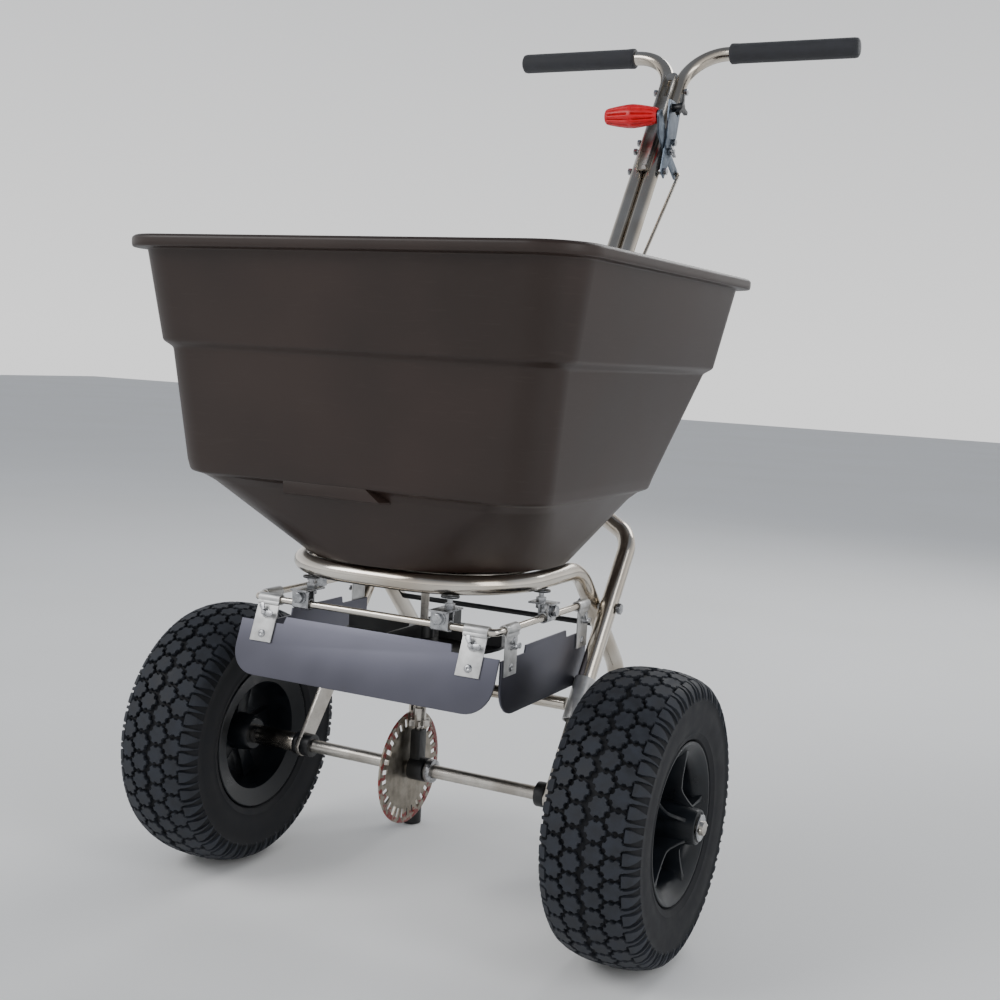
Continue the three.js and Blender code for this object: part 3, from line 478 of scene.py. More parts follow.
def closed_cell_foam():
    """Extruded nitrile foam grips: matt, dark grey, with a skin of fine pores."""
    made, tree, where = started("closed_cell_foam")
    # Real pores are about 0.3 mm across. They are drawn larger, to show.
    pores = add(tree, "TexVoronoi", {"Vector": where, "Scale": scale_for(0.9)})
    cloud = add(tree, "TexNoise", {"Vector": where, "Scale": scale_for(18), "Detail": 3})
    colour = add(tree, "ValToRGB", {"Fac": cloud}, {0.35: "#1f2024", 0.65: "#2a2b30"})
    rough = add(tree, "MapRange", {"Value": cloud, **CORE, "To Min": 0.7, "To Max": 0.85})
    bumps = add(tree, "Bump", {"Height": pores, "Distance": 0.14 * MM, "Strength": 0.6})
    return finished(made, {"Base Color": colour, "Roughness": rough, "Normal": bumps},
                    {"Sheen Weight": 0.15})


def red_polypropylene():
    """Signal-red polypropylene knob: saturated, glossy on the ribs, slightly translucent."""
    made, tree, where = started("red_polypropylene")
    cloud = add(tree, "TexNoise", {"Vector": where, "Scale": scale_for(10), "Detail": 3})
    grain = add(tree, "TexNoise", {"Vector": where, "Scale": scale_for(0.7), "Detail": 3})
    colour = add(tree, "ValToRGB", {"Fac": cloud}, {0.35: "#c4060f", 0.65: "#d81020"})
    rough = add(tree, "MapRange", {"Value": cloud, **CORE, "To Min": 0.28, "To Max": 0.4})
    bumps = add(tree, "Bump", {"Height": grain, "Distance": 0.02 * MM, "Strength": 0.5})
    return finished(made, {"Base Color": colour, "Roughness": rough, "Normal": bumps},
                    {"Subsurface Weight": 0.06, "Subsurface Radius": (4 * MM, 1 * MM, 1 * MM)})


def greased_disc():
    """Stainless gear disc with red bearing grease thrown out round its slots."""
    made, tree, where = started("greased_disc")
    stain = add(tree, "TexNoise", {"Vector": where, "Scale": scale_for(12), "Detail": 3})
    steel = add(tree, "ValToRGB", {"Fac": stain}, {0.35: "#7e776c", 0.65: "#a39c90"})
    place = add(tree, "SeparateXYZ", {"Vector": where}).node.outputs
    y = add(tree, "Math", {0: place["Y"], 1: AXLE_SHIFT}, operation="SUBTRACT")
    z = add(tree, "Math", {0: place["Z"], 1: AXLE_Z * MM}, operation="SUBTRACT")
    flat = add(tree, "CombineXYZ", {"Y": y, "Z": z})
    radius = add(tree, "VectorMath", {0: flat}, operation="LENGTH")
    rim = add(tree, "MapRange", {"Value": radius, "From Min": 46 * MM, "From Max": 58 * MM,
                                 "To Min": -0.25, "To Max": 0.30})
    blobs = add(tree, "TexNoise", {"Vector": where, "Scale": scale_for(7), "Detail": 4})
    thrown = add(tree, "Math", {0: blobs, 1: rim}, operation="ADD")
    grease = add(tree, "MapRange", {"Value": thrown, "From Min": 0.78, "From Max": 0.86})
    colour = add(tree, "Mix", {"Factor": grease, "A": steel, "B": linear("#7d1a14")}, data_type="RGBA")
    metal = add(tree, "MapRange", {"Value": grease, "To Min": 1.0, "To Max": 0.0})
    rough = add(tree, "MapRange", {"Value": stain, **CORE, "To Min": 0.28, "To Max": 0.46})
    bumps = add(tree, "Bump", {"Height": grease, "Distance": 0.3 * MM, "Strength": 0.6})
    return finished(made, {"Base Color": colour, "Metallic": metal, "Roughness": rough, "Normal": bumps})


def pale_floor():
    """Matt white studio floor with a barely visible unevenness."""
    made, tree, where = started("pale_floor")
    cloud = add(tree, "TexNoise", {"Vector": where, "Scale": scale_for(900), "Detail": 3})
    colour = add(tree, "ValToRGB", {"Fac": cloud}, {0.35: "#f7f7f5", 0.65: "#fbfbfa"})
    rough = add(tree, "MapRange", {"Value": cloud, **CORE, "To Min": 0.7, "To Max": 0.8})
    return finished(made, {"Base Color": colour, "Roughness": rough})


POLY = moulded_polyethylene()
NYLON = glass_filled_nylon()
ACETAL = black_acetal()
RUBBER = vulcanised_rubber()
TREAD = tread_rubber()
TUBE = polished_stainless()
SHEET = brushed_stainless()
ZINC = bright_zinc()
TAB = dull_zinc()
PLATE = satin_steel_plate()
FLAP = anodised_sheet()
FOAM = closed_cell_foam()
RED = red_polypropylene()
GREASED = greased_disc()


# ---- hopper ----
CORNER_STEPS = 10
LIP_HALF = 283.0
LIP_FRONT = 250.5
LIP_BACK = 321.5
WALL = 4
FLOOR_Z = 433
PORT_X = (-46, 0, 46)
PORT_Y = 78
PORT_SIZE = (36, 12, 20)
BORE_X = -5.6
BORE_R = 9
# A rounded fold takes at most this much of the wall on each side of it.
FOLD_REACH = 0.48
TINY = 1e-6


def hopper_ring(half, front, back, r, z):
    """Rounded rectangle at height z, counter-clockwise from above."""
    middles = ((half - r, back - r), (r - half, back - r), (r - half, front + r), (half - r, front + r))
    return [
        Vector((x + r * math.cos(a), y + r * math.sin(a), z))
        for quarter, (x, y) in enumerate(middles)
        for a in ((quarter + i / CORNER_STEPS) * math.pi / 2 for i in range(CORNER_STEPS + 1))
    ]


def softened(rings, radii, steps=4):
    """Rounds the fold between one band of the loft and the next."""
    out = [rings[0]]
    for below, here, above, radius in zip(rings, rings[1:], rings[2:], radii):
        for k in range(steps + 1):
            t = k / steps
            ring = []
            for a, b, c in zip(below, here, above):
                start = b + (a - b) * min(FOLD_REACH, radius / max((a - b).length, TINY))
                end = b + (c - b) * min(FOLD_REACH, radius / max((c - b).length, TINY))
                ring.append(start.lerp(b, t).lerp(b.lerp(end, t), t))
            out.append(ring)
    return out + [rings[-1]]


def hopper_levels(inset):
    """The folds of the wall from the floor up: half width, front, back, corner radius and height."""
    sizes = [
        (157, -141, 173, 156.9, 429), (214, -183, 134, 66, 508), (219.5, -189, 138.5, 50, 516),
        (226.5, -197, 145, 42, 519.5), (229.3, -199.3, 149, 42, 532), (243.9, -212.3, 264, 42, 657),
        (254, -220.5, 273, 46, 664), (270.5, -235, 298, 52, 764),
    ]
    return [hopper_ring(h - inset, f + inset, b - inset, r - inset, z) for h, f, b, r, z in sizes]


def holed(shape, cutters):
    """Cuts holes through a shape."""
    objects = []
    for points, faces in (shape, joined(*cutters)):
        mesh = bpy.data.meshes.new("work")
        mesh.from_pydata(points, [], faces)
        objects.append(bpy.data.objects.new("work", mesh))
        bpy.context.scene.collection.objects.link(objects[-1])
    cut = objects[0].modifiers.new("holes", "BOOLEAN")
    cut.object = objects[1]
    cut.operation = "DIFFERENCE"
    bpy.context.view_layer.update()
    solved = objects[0].evaluated_get(bpy.context.evaluated_depsgraph_get()).to_mesh()
    result = [v.co.copy() for v in solved.vertices], [tuple(f.vertices) for f in solved.polygons]
    for each in objects:
        bpy.data.objects.remove(each)
    return result


def make_hopper():
    """The hopper: wall with its folds and rolled lip, three outlet ports and the shaft's bore."""
    lip = [
        hopper_ring(LIP_HALF - inset, inset - LIP_FRONT, LIP_BACK - inset, corner, z)
        for inset, corner, z in ((1, 57, 764.6), (0, 58, 768), (0, 58, 775), (3.5, 55, 778), (11, 50, 778))
    ]
    outer = softened(hopper_levels(0) + lip, [3, 3, 3.5, 3, 3, 3, 2, 2, 2, 2, 2])
    inner = hopper_levels(WALL)
    inner[0] = [Vector((p.x, p.y, FLOOR_Z)) for p in inner[0]]
    inner = softened([lip[-1]] + inner[::-1], [6, 4, 4, 4, 4, 4, 8])
    ports = [block((x, PORT_Y, FLOOR_Z - 2), PORT_SIZE) for x in PORT_X]
    bore = bar((BORE_X, 0, FLOOR_Z - 13), (BORE_X, 0, FLOOR_Z + 7), BORE_R)
    body = holed(lofted(outer + inner[1:]), [*ports, bore])
    # Raised pad under the front panel, with its right end cut to a slant.
    pad = lofted([
        [Vector((x, y, z)) for x, y in ((-78, -160), (right, -160), (right - 17, front), (-77, front))]
        for z, right, front in ((505, 62, -194), (507, 62, -196), (519, 46, -197), (521, 44, -196))
    ])
    piece("hopper_moulding", "hopper", [(body, POLY), (pad, POLY)], crease=35)


# ---- frame ----
def leg_at(z, side):
    """The place on a main tube's leaning lower leg at height z."""
    return side * LEG_X, (z - AXLE_Z) * LEG_LEAN, z


def pair_y(z):
    """How far back the paired tubes of the handle are at height z."""
    return HANDLE_Y + (z - HANDLE_Z) * math.tan(HANDLE_LEAN)


def make_frame():
    way = [(FOOT_Y, FOOT_Z), (FOOT_Y, SHIN_Z), (KNEE_Y, RING_Z), (RING_FRONT, RING_Z)]
    corners = [(-RING_X, *spot) for spot in way] + [(RING_X, *spot) for spot in reversed(way)]
    stand = rounded_route(corners, [60, 70, 118, 118, 70, 60], 14)
    piece("stand_and_ring_tube", "stand_tube", [(swept(stand, TUBE_R, 36), TUBE)])
    strut = bar((-STRUT_HALF, STRUT_Y, STRUT_Z), (STRUT_HALF, STRUT_Y, STRUT_Z), STRUT_R)
    piece("stand_strut", "stand_tube", [(strut, ACETAL)], body="frame")
    brace_y, brace_end = leg_at(BRACE_Z, 1)[1], LEG_X - 15
    brace = bar((-brace_end, brace_y, BRACE_Z), (brace_end, brace_y, BRACE_Z), BRACE_R)
    piece("cross_brace_tube", "cross_brace", [(brace, TUBE)])
    for side, s in SIDES:
        corners = [leg_at(BRACE_Z, s), leg_at(LEG_TOP, s), (s * PAIR_X, pair_y(PAIR_Z), PAIR_Z),
                   (s * PAIR_X, pair_y(GRIP_Z), GRIP_Z), (s * (GRIP_OUT - 5), pair_y(GRIP_Z), GRIP_Z)]
        tube = swept(rounded_route(corners, [46, 70, 66], 14), TUBE_R, 36)
        piece(f"main_tube_{side}_bent", f"main_tube_{side}", [(tube, TUBE)])
        sleeve = open_tube(leg_at(SLEEVE_Z[0], s), leg_at(SLEEVE_Z[1], s), TUBE_R + 2.4, TUBE_R + 0.4)
        rivet = lathed([(0, 4.5), (1.4, 4.2), (2.4, 2.2)], 20)
        rivet = shifted(rivet, s * LEG_X + TUBE_R + 1.8, *leg_at(RIVET_Z, s)[1:])
        piece(f"sleeve_{side}_turned", f"sleeve_{side}", [(sleeve, TAB), (rivet, ZINC)], 0.5)
        refined(f"axle_plate_{side}", SHEET, 0.8)
        refined(f"axle_bush_{side}", ACETAL, 0.6)
        refined(f"cross_bolt_{side}", ZINC, 0.6)
        foot = lathed([(0, 12.2), (1.2, 13.6), (26, 13.6), (28, 12.6), (28, 11.4), (9, 11.4)], 40)
        foot = shifted(turned_to(foot, -90, "Y"), s * RING_X, FOOT_Y, 0)
        piece(f"foot_cap_{side}_moulded", f"foot_cap_{side}", [(foot, ACETAL)])
        make_grip(side, s)


def make_grip(side, s):
    """Foam sleeve, a little swollen at the end where it was pushed along the tube."""
    length = GRIP_OUT - GRIP_IN
    profile = [(0, 11.6), (0, 14.6), (1.4, 15.9), (5, 16), (14, 15.5), (length - 6, 15.4), (length - 2, 14.6),
               (length, 11.8), (length, 1.0)]
    grip = shifted(lathed(profile, 48), x=GRIP_IN)
    grip = moved(grip, Matrix.Diagonal((s, 1, 1, 1)))
    piece(f"grip_{side}_foam", f"grip_{side}", [(shifted(grip, y=pair_y(GRIP_Z), z=GRIP_Z), FOAM)], crease=60)


# ---- wheels ----
STARS_ROUND = 42
STAR_ROWS = ((12.2, 0.0), (33.2, 0.5))
TREAD_DEPTH = 5.0
TREAD_HALF = 46
CROWN_DROP = 7.5
CROWN_POWER = 2.6
BLOCK_TAPER = 0.94
MAIN_RIB = 15.5
SMALL_RIB = 4.5
# How far each half of the tread runs ahead of or behind the middle, in pitches.
LAG = 0.25


def crown(w):
    """Radius of the tread's top, across the width of the tyre."""
    return TYRE_R - CROWN_DROP * (abs(w) / TREAD_HALF) ** CROWN_POWER


def on_tyre(along, w, height):
    """A place on the tread: millimetres round it, across it and above the groove floor."""
    radius = crown(w) - TREAD_DEPTH + height
    angle = along / TYRE_R
    return Vector((w, radius * math.sin(angle), radius * math.cos(angle)))


def tread_block(outline, along, w):
    """A block standing on the tread, with its top edge broken."""
    levels = ((1.0, -0.6), (0.985, TREAD_DEPTH - 0.7), (BLOCK_TAPER, TREAD_DEPTH))
    return lofted([[on_tyre(along + u * k, w + v * k, h) for u, v in outline] for k, h in levels])


def star_outline():
    """Six blunt arms."""
    points = []
    for arm in range(6):
        middle = math.pi / 3 * arm
        for turn, radius in ((-0.34, 9.3), (-0.23, 11.8), (0.23, 11.8), (0.34, 9.3)):
            points.append((radius * math.sin(middle + turn), radius * math.cos(middle + turn)))
    return points[::-1]


def shoulder_rib(along, s, wide):
    """A rib from the edge of the tread down on to the sidewall."""
    stations = ((43.0, 158.5, wide), (48.5, 155.9, wide), (53.0, 151.0, wide * 0.7),
                (55.6, 145.0, wide * 0.4), (56.6, 138.5, wide * 0.18))
    rings = []
    for w, radius, width in stations:
        ring = []
        for across, drop in ((-1, 5.5), (-0.86, 0), (0.86, 0), (1, 5.5)):
            angle = (along + across * width / 2) / TYRE_R
            r = radius - drop * 0.8
            ring.append(Vector((s * (w - drop * 0.6), r * math.sin(angle), r * math.cos(angle))))
        rings.append(ring if s < 0 else ring[::-1])
    return lofted(rings)


def make_tyre(side, s):
    grooves = [(w, crown(w) - TREAD_DEPTH) for w in range(0, TREAD_HALF + 1, 4)]
    wall = [(50.5, 149.6), (53.6, 144.5), (54.9, 140.5), (55.8, 139.4), (55.9, 138.2), (55.2, 137),
            (55.4, 128), (55.2, 118), (54.2, 109), (52.6, 102.5), (52.9, 101.2), (52.2, 99.4),
            (50.6, 96), (50, 94), (46, 92.2), (36, 78.5)]
    half = grooves + wall
    outside = [(-w, r) for w, r in reversed(half[1:])] + half
    inside = [(30, 78.5), (42, 95), (47, 122), (43, 144), (0, 154.8)]
    inside += [(-w, r) for w, r in reversed(inside[:-1])]
    carcass = lathed(outside + inside, 144, closed=True)
    pitch = 2 * math.pi * TYRE_R / STARS_ROUND
    star = star_outline()
    blocks = []
    for k in range(STARS_ROUND):
        for row, offset in STAR_ROWS:
            for hand in (-1, 1):
                blocks.append(tread_block(star, (k + offset - hand * LAG) * pitch, hand * row))
        for hand in (-1, 1):
            blocks.append(shoulder_rib((k - hand * LAG) * pitch, hand, MAIN_RIB))
            blocks.append(shoulder_rib((k - hand * LAG + 0.5) * pitch, hand, SMALL_RIB))
    place = Matrix.Translation((s * WHEEL_X, 0, AXLE_Z))
    piece(f"tyre_{side}_treaded", f"tyre_{side}",
          [(moved(carcass, place), RUBBER), (moved(joined(*blocks), place), TREAD)], crease=32)


RIB_TURN = -13
SPOKES = 5


def spoke(turn):
    """A deep rib whose outer edge runs level from the rim and then climbs on to the hub, with a foot
    that widens it where it meets the barrel."""
    rings = []
    for radius, low, top, thick in (
        (15, -9, 62, 5.0), (20, -9, 60, 4.6), (26, -9, 53, 4.0),
        (33, -9, 46.5, 3.6), (38, -9, 44, 3.4), (50, -9, 43.5, 3.2),
        (64, -9, 44, 3.4), (72, -9, 44.5, 4.4), (80, 36, 45, 8.0),
    ):
        deep = thick + 1.4
        corners = ((low, -deep), (low, deep), (top, thick / 2), (top, -thick / 2))
        rings.append([Vector((x, y, radius)) for x, y in corners])
    web = lofted([[Vector((x, y, r)) for x, y in ((-10, -w), (-10, w), (top, w), (top, -w))]
                  for r, w, top in ((15, 11, 8), (40, 10, 2), (72, 14, 2))])
    return turned_to(joined(lofted(rings), web), turn, "X")


def make_rim(side, s):
    barrel = lathed([
        (-44, 69), (-49, 88), (-50, 90), (-49, 91), (-47.4, 91), (-46.4, 90), (-44, 84), (-37, 77),
        (-28, 77), (-18, 72), (18, 72), (28, 77), (37, 77), (44, 84), (46.4, 90), (47.4, 91), (49, 91),
        (50, 90), (49.4, 87.6), (46.5, 84), (42, 76), (38, 72.5), (34, 70), (14, 66), (-14, 66),
    ], 112, closed=True)
    hub = lathed([
        (-36, 19), (-34, 21), (10, 27), (24, 25), (48, 21.5), (66, 20), (68.8, 19), (69.4, 17.6),
        (69.4, 16.4), (68, 15.6), (68, 9),
    ], 56)
    spokes = [spoke(360 / SPOKES * k + RIB_TURN) for k in range(SPOKES)]
    shape = joined(barrel, hub, *spokes)
    valve = shifted(lathed([(0, 3.2), (14, 3.2), (14.6, 2.6), (21, 2.6), (22, 1.8)], 18), x=8, z=58)
    place = Matrix.Translation((s * WHEEL_X, 0, AXLE_Z)) @ Matrix.Diagonal((s, 1, 1, 1))
    piece(f"rim_{side}_moulded", f"rim_{side}", [(moved(shape, place), NYLON), (moved(valve, place), ACETAL)],
          bevel=0.7, crease=38)


SHAFT_BORE = 8.4
DISC_X = -17
DISC_R = 68.7
DISC_T = 2.4
DISC_SLOTS = 30
SLOT_IN = 51.5
SLOT_OUT = 62.5
SLOT_HALF = 2.95
DISC_HUB = (-32.9, -18.2)
DISC_HUB_R = 15
SPACER_R = 12
# The pieces of the drive that keep the CAD shape, with their materials and broken edges.
DRIVE_PIECES = (
    ("pinion", SHEET, 0.25),
    ("gear_bracket", ACETAL, 0.8),
    ("impeller_shaft", SHEET, 0.5),
    ("impeller", ACETAL, 0.5),
    ("agitator", SHEET, 0.4),
    ("shaft_bush", ACETAL, 0.5),
    ("base_plate", SHEET, 0.4),
    ("shutter_plate", SHEET, 0.3),
)


def make_axle_group():
    refined("axle", SHEET, 0.5)
    refined("axle_collar", ZINC, 0.6)
    for side, s in SIDES:
        refined(f"axle_washer_{side}", ZINC, 0.3)
        start, end = (s * (LEG_X + 9.4), 0, AXLE_Z), (s * (WHEEL_X - 36.4), 0, AXLE_Z)
        spacer = open_tube(start, end, SPACER_R, SHAFT_BORE)
        piece(f"axle_spacer_{side}_tube", f"axle_spacer_{side}", [(spacer, TUBE)], 0.5)
        make_tyre(side, s)
        make_rim(side, s)
    ring = arc(0, 0, DISC_R, 0, 357.5, 143)
    slots = []
    for k in range(DISC_SLOTS):
        a = 2 * math.pi * k / DISC_SLOTS
        out, cross = Vector((math.cos(a), math.sin(a))), Vector((-math.sin(a), math.cos(a)))
        slot = ((SLOT_IN, SLOT_HALF), (SLOT_OUT, SLOT_HALF), (SLOT_OUT, -SLOT_HALF), (SLOT_IN, -SLOT_HALF))
        slots.append([tuple(out * r + cross * w) for r, w in slot])
    disc = plate([ring, *slots, arc(0, 0, SHAFT_BORE, 0, 345, 23)], DISC_T, 0.25)
    disc = moved(disc, Matrix.Translation((DISC_X, 0, AXLE_Z)) @ Matrix.Rotation(math.pi / 2, 4, "Y"))
    hub = open_tube((DISC_HUB[0], 0, AXLE_Z), (DISC_HUB[1], 0, AXLE_Z), DISC_HUB_R, SHAFT_BORE, 48)
    piece("gear_disc_pressed", "gear_disc", [(disc, GREASED), (hub, SHEET)])
    for node, material, edge in DRIVE_PIECES:
        refined(node, material, edge)


# ---- deflector ----
FLAP_TOP = 18.5
FLAP_LOW = 90
FLAP_CORNER = 32
NOTCH = 8.5
FRONT_FLAP = 336
SIDE_FLAP = 226
TAB_LOW = 51
TAB_GAP = 0.4
BOLT_DROP = 18
RIVET_DROP = 42
EYE_R = 6.2
EYE_BORE = 4.4
HANGER_HALF = 11
HANGER_EYE_R = 6.4
LEAF_T = 2.0
SHELF_T = 2.2
SHELF_RISE = 16
CLAMP_BOLT_RISE = 8
LEAF_LOW = -4
LEAF_TOP = 17
POST_R = 3
NUT_R = 5.8
POST_PAD_R = 10.5
REAR_HANGER_Y = -5


def wing_bolt():
    """Wing bolt standing out along -Y from y = 0."""
    hub = turned_to(lathed([(0, 5.2), (1.2, 5.2), (1.2, 3.8), (6.5, 3.4), (7.6, 2.2)], 20), -90, "Z")
    wings = []
    for hand in (-1, 1):
        leaf = plate([arc(0, 0, 1.6, 180, 360, 4) + arc(0.6, 9, 3.4, 0, 180, 8)], 1.5, 0.4)
        leaf = turned_to(leaf, hand * -62, "Z")
        wings.append(shifted(turned_to(leaf, 90, "X"), y=-5.5))
    shape = joined(hub, *wings)
    return turned_to(shape, 28, "Y")


def flap_place(name):
    """Where a flap hangs on the rail, with its outer face turned outwards."""
    if name == "front":
        return Matrix.Translation((0, RAIL_FRONT, RAIL_Z)) @ Matrix.Rotation(-FRONT_TILT, 4, "X")
    s = 1 if name == "right" else -1
    return Matrix.Translation((s * RAIL_HALF, SIDE_FLAP_Y, RAIL_Z)) @ Matrix.Rotation(s * math.pi / 2, 4, "Z")


def make_flap(name, length, drop, tabs):
    """A flap with rounded lower corners, and its two tabs, each with a wing bolt and a rivet."""
    h = length / 2
    top, low, r = -FLAP_TOP - drop, -FLAP_LOW - drop, FLAP_CORNER
    notch = top - NOTCH
    step = h - 2 * TAB_W
    outline = [(-h, notch)] + arc(-h + r, low + r, r, 180, 270) + arc(h - r, low + r, r, 270, 360)
    outline += [(h, notch), (step, notch), (step - 2, top), (2 - step, top), (-step, notch)]
    sheet = turned_to(plate([outline], FLAP_T, 0.35), 90, "X")
    place = flap_place(name)
    piece(f"{name}_flap_sheet", f"{name}_flap", [(moved(sheet, place), FLAP)])
    w = TAB_W / 2
    for i, at in enumerate(tabs):
        face = -FLAP_T / 2 - TAB_GAP - TAB_T
        strip = [(-w, 0.4 - TAB_LOW), (0.4 - w, -TAB_LOW), (w - 0.4, -TAB_LOW), (w, 0.4 - TAB_LOW),
                 (w, -4), (-w, -4)]
        strip = turned_to(plate([strip], TAB_T, 0.25), 90, "X")
        strip = shifted(strip, x=at, y=face + TAB_T / 2)
        eye = shifted(open_tube((-w, 0, 0), (w, 0, 0), EYE_R, EYE_BORE), x=at)
        neck = block((at, -3.9, -5.4), (TAB_W, 2.2, 4.2))
        bolt = shifted(wing_bolt(), x=at, y=face, z=-BOLT_DROP)
        rivet = turned_to(lathed([(0, 4.8), (0.9, 4.5), (1.7, 3.0), (1.7, 1.3), (1.3, 0.8)], 24), -90, "Z")
        rivet = shifted(rivet, x=at, y=face, z=-RIVET_DROP)
        strap = moved(joined(strip, eye, neck), place)
        fixings = moved(joined(bolt, rivet), place)
        node = f"{name}_flap_tab_{i + 1}"
        piece(f"{node}_pressed", node, [(strap, TAB), (fixings, ZINC)], 0.25)


def make_hanger(name, x, y, post_x, post_y):
    """Clamp on the rail: folded angle, hexagon clamp bolt, post up to the ring with its washer."""
    along_x = abs(y - RAIL_FRONT) < 1
    spin = Matrix.Rotation(0 if along_x else math.copysign(math.pi / 2, x), 4, "Z")
    here = Matrix.Translation((x, y, RAIL_Z)) @ spin
    w = HANGER_HALF
    leaf = plate([[(-w, LEAF_LOW), (w, LEAF_LOW), (w, LEAF_TOP), (-w, LEAF_TOP)]], LEAF_T, 0.25)
    front_leaf = shifted(turned_to(leaf, 90, "X"), y=-5.6)
    back_leaf = shifted(turned_to(leaf, 90, "X"), y=5.4)
    eye = open_tube((-w, 0, 0), (w, 0, 0), HANGER_EYE_R, EYE_BORE)
    washer = turned_to(lathed([(0, 8), (1.4, 8)], 28), -90, "Z")
    head = turned_to(lathed([(0, 6.8), (4.6, 6.8), (5.2, 6.0)], 6), -90, "Z")
    bolt = joined(shifted(washer, y=-6.6), shifted(head, y=-8))
    bolt = shifted(bolt, z=CLAMP_BOLT_RISE)
    clamp = moved(joined(front_leaf, back_leaf, eye, bolt), here)
    reach = Vector((post_x - x, post_y - y, 0))
    length = reach.length + 2 * w
    shelf_size = (2 * w, length, SHELF_T) if along_x else (length, 2 * w, SHELF_T)
    shelf = block((x + reach.x / 2, y + reach.y / 2, RAIL_Z + SHELF_RISE), shelf_size)
    post = bar((post_x, post_y, RAIL_Z + 10), (post_x, post_y, RING_Z - TUBE_R - 0.4), POST_R, 20)
    nut = turned_to(lathed([(0, NUT_R), (5, NUT_R)], 6), -90, "Y")
    nuts = joined(shifted(nut, post_x, post_y, RAIL_Z + 17), shifted(nut, post_x, post_y, RAIL_Z + 9))
    pad = turned_to(lathed([(0, POST_PAD_R), (2.2, POST_PAD_R)], 28), -90, "Y")
    pad = shifted(pad, post_x, post_y, RING_Z - TUBE_R - 3)
    piece(f"{name}_clamp", name, [(joined(clamp, shelf, post, nuts), ZINC), (pad, ACETAL)], 0.25)


def make_deflector():
    rail = rounded_route([(-RAIL_HALF, RAIL_BACK, RAIL_Z), (-RAIL_HALF, RAIL_FRONT, RAIL_Z),
                          (RAIL_HALF, RAIL_FRONT, RAIL_Z), (RAIL_HALF, RAIL_BACK, RAIL_Z)], [9, 9])
    piece("deflector_rail_wire", "deflector_rail", [(swept(rail, RAIL_R, 20), TUBE)])
    for side, s in SIDES:
        make_hanger(f"hanger_front_{side}", s * HANGER_X, RAIL_FRONT, s * HANGER_X, POST_Y)
        make_hanger(f"hanger_rear_{side}", s * RAIL_HALF, REAR_HANGER_Y, s * RING_X, REAR_HANGER_Y)
    make_flap("front", FRONT_FLAP, 0, (-135, 135))
    make_flap("right", SIDE_FLAP, SIDE_DROP, (-95, 96))
    make_flap("left", SIDE_FLAP, SIDE_DROP, (-96, 95))


# ---- handle fittings ----
KNOB_HALF = 42
KNOB_RIBS = 12
KNOB_AT = (-21, -58, 2)
GROOVE_DEPTH = 2.6


def make_knob():
    """Barrel knob in two tapering halves, ribbed lengthwise, with an open end."""
    half = KNOB_HALF

    def ribbed(angle, x, radius):
        middle, end = abs(x) < 3, abs(x) > 36
        groove = max(0.0, math.cos(KNOB_RIBS * angle)) ** 2
        return radius - (0 if middle or end else GROOVE_DEPTH * groove)

    taper = [(2.8, 17.9), (4, 17.8), (12, 17.0), (24, 15.2), (35, 13.1), (35.6, 13.0), (38, 12.4),
             (half - 1.2, 11.6)]
    closed_end = [(-half, 7), (-half, 10.4)]
    open_end = [(half, 10.6), (half, 8.2), (half - 9, 7.8)]
    profile = closed_end + [(-x, r) for x, r in reversed(taper)] + [(0, 18)] + taper + open_end
    place = Matrix.Translation((0, HANDLE_Y, HANDLE_Z)) @ Matrix.Rotation(-HANDLE_LEAN, 4, "X")
    place = place @ Matrix.Translation(KNOB_AT)
    piece("lever_knob_moulded", "lever_knob", [(moved(lathed(profile, 144, ribbed), place), RED)], crease=50)


def make_handle():
    refined("handle_channel", SHEET, 0.6)
    for name in ("handle_bolt_top", "handle_bolt_middle", "handle_bolt_low", "lever_pivot"):
        refined(name, ZINC, 0.5)
    refined("stop_quadrant", PLATE, 0.3)
    refined("lever", PLATE, 0.4)
    refined("stop_knob", ACETAL, 0.8)
    make_knob()
    rod_low, rod_high = Vector(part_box("control_rod")[0]) / MM, Vector(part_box("control_rod")[1]) / MM
    shift = AXLE_SHIFT / MM
    low = (ROD_X, rod_low.y - shift + ROD_R, rod_low.z + ROD_R)
    high = (ROD_X, rod_high.y - shift - ROD_R, rod_high.z - ROD_R)
    route = rounded_route([(rod_low.x, *low[1:]), low, high, (ROD_TOP_X, *high[1:])], [4, 4], 8)
    piece("control_rod_wire", "control_rod", [(swept(route, ROD_R, 18), TUBE)])


# ---- studio, in metres ----
FLOOR_SPAN = 14.0
CAMERA_AT = (0.8126, AXLE_SHIFT - 1.4289, 0.6701)
CAMERA_YAW = math.radians(26.91)
CAMERA_PITCH = math.radians(6.03)
CAMERA_ROLL = math.radians(3.11)
LENS_MM = 50.146
SENSOR_MM = 36
WORLD_STRENGTH = 1.25
# Each light's name, place, target, width and height, and power in watts.
LIGHTS = (
    ("key", (-2.2, -2.6, 2.8), (0, 0, 0.5), (2.2, 1.6), 70),
    ("fill", (2.6, -1.0, 1.6), (0, 0, 0.5), (1.2, 2.0), 22),
    ("back", (0.6, 2.6, 2.4), (0, 0, 0.6), (2.0, 1.2), 40),
)


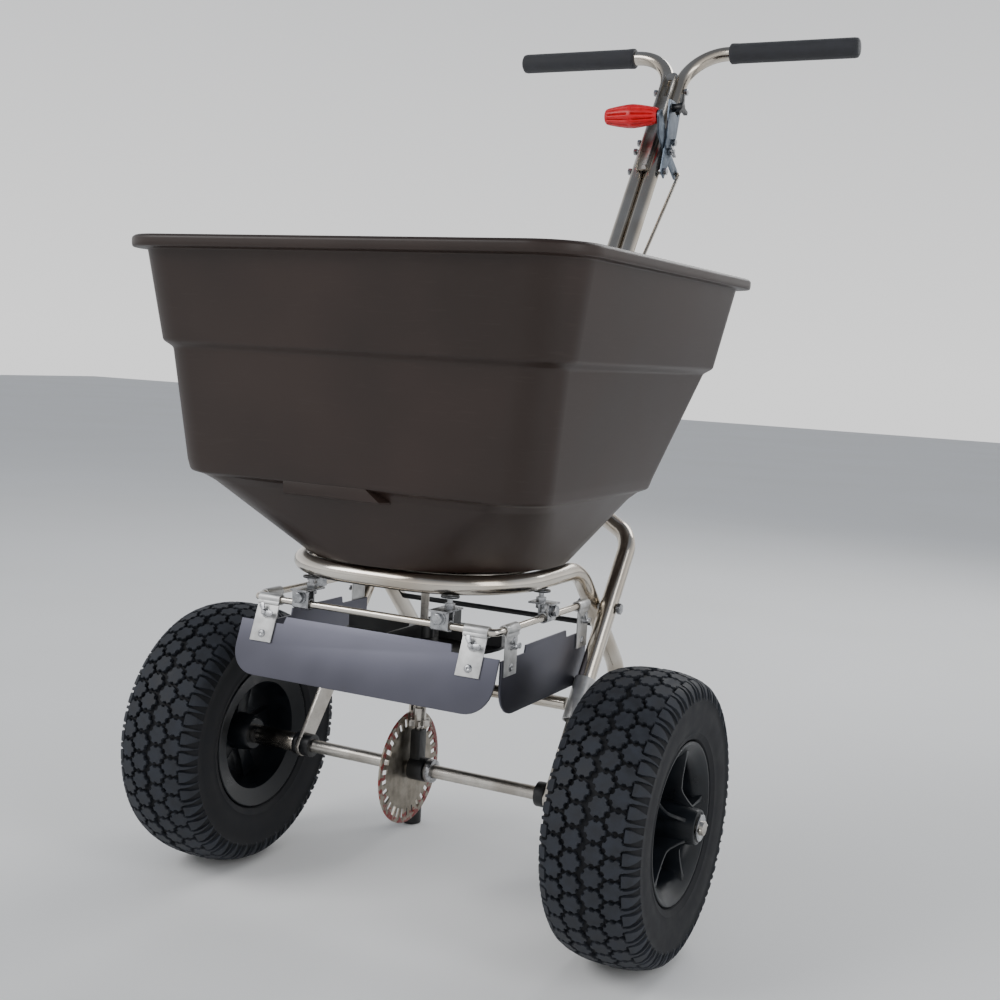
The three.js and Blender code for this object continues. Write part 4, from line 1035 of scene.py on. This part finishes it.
def make_floor():
    mesh = bpy.data.meshes.new("studio_floor")
    corners = [(x * FLOOR_SPAN, y * FLOOR_SPAN, 0) for x, y in ((-1, -1), (1, -1), (1, 1), (-1, 1))]
    mesh.from_pydata(corners, [], [(0, 1, 2, 3)])
    mesh.materials.append(pale_floor())
    floor = bpy.data.objects.new("studio_floor", mesh)
    bpy.context.scene.collection.objects.link(floor)


def make_light(name, place, target, size, watts):
    data = bpy.data.lights.new(name, "AREA")
    data.shape = "RECTANGLE"
    data.size, data.size_y = size
    data.energy = watts
    light = bpy.data.objects.new(name, data)
    light.location = place
    light.rotation_euler = (Vector(target) - Vector(place)).to_track_quat("-Z", "Y").to_euler()
    bpy.context.scene.collection.objects.link(light)


def make_world():
    """White room, a little darker towards the ceiling, so that bright metal has something to mirror."""
    world = bpy.data.worlds.new("studio")
    bpy.context.scene.world = world
    world.use_nodes = True
    tree = world.node_tree
    where = add(tree, "TexCoord", {}).node.outputs["Generated"]
    height = add(tree, "SeparateXYZ", {"Vector": where}).node.outputs["Z"]
    shade = add(tree, "ValToRGB", {"Fac": height}, {0.0: "#ffffff", 0.75: "#747a84"})
    room = tree.nodes["Background"]
    tree.links.new(shade, room.inputs["Color"])
    room.inputs["Strength"].default_value = WORLD_STRENGTH


def make_camera():
    yaw, pitch, roll = CAMERA_YAW, CAMERA_PITCH, CAMERA_ROLL
    ahead = Vector((-math.sin(yaw) * math.cos(pitch), math.cos(yaw) * math.cos(pitch), -math.sin(pitch)))
    level = Vector((math.cos(yaw), math.sin(yaw), 0))
    above = level.cross(ahead)
    right = level * math.cos(roll) + above * math.sin(roll)
    up = above * math.cos(roll) - level * math.sin(roll)
    data = bpy.data.cameras.new("camera")
    data.lens = LENS_MM
    data.sensor_width = SENSOR_MM
    camera = bpy.data.objects.new("camera", data)
    turn = Matrix((right, up, -ahead)).transposed().to_4x4()
    camera.matrix_world = Matrix.Translation(CAMERA_AT) @ turn
    bpy.context.scene.collection.objects.link(camera)
    bpy.context.scene.camera = camera


make_camera()
make_world()
make_floor()
for light, place, target, size, watts in LIGHTS:
    make_light(light, place, target, size, watts)
make_hopper()
make_frame()
make_axle_group()
make_deflector()
make_handle()
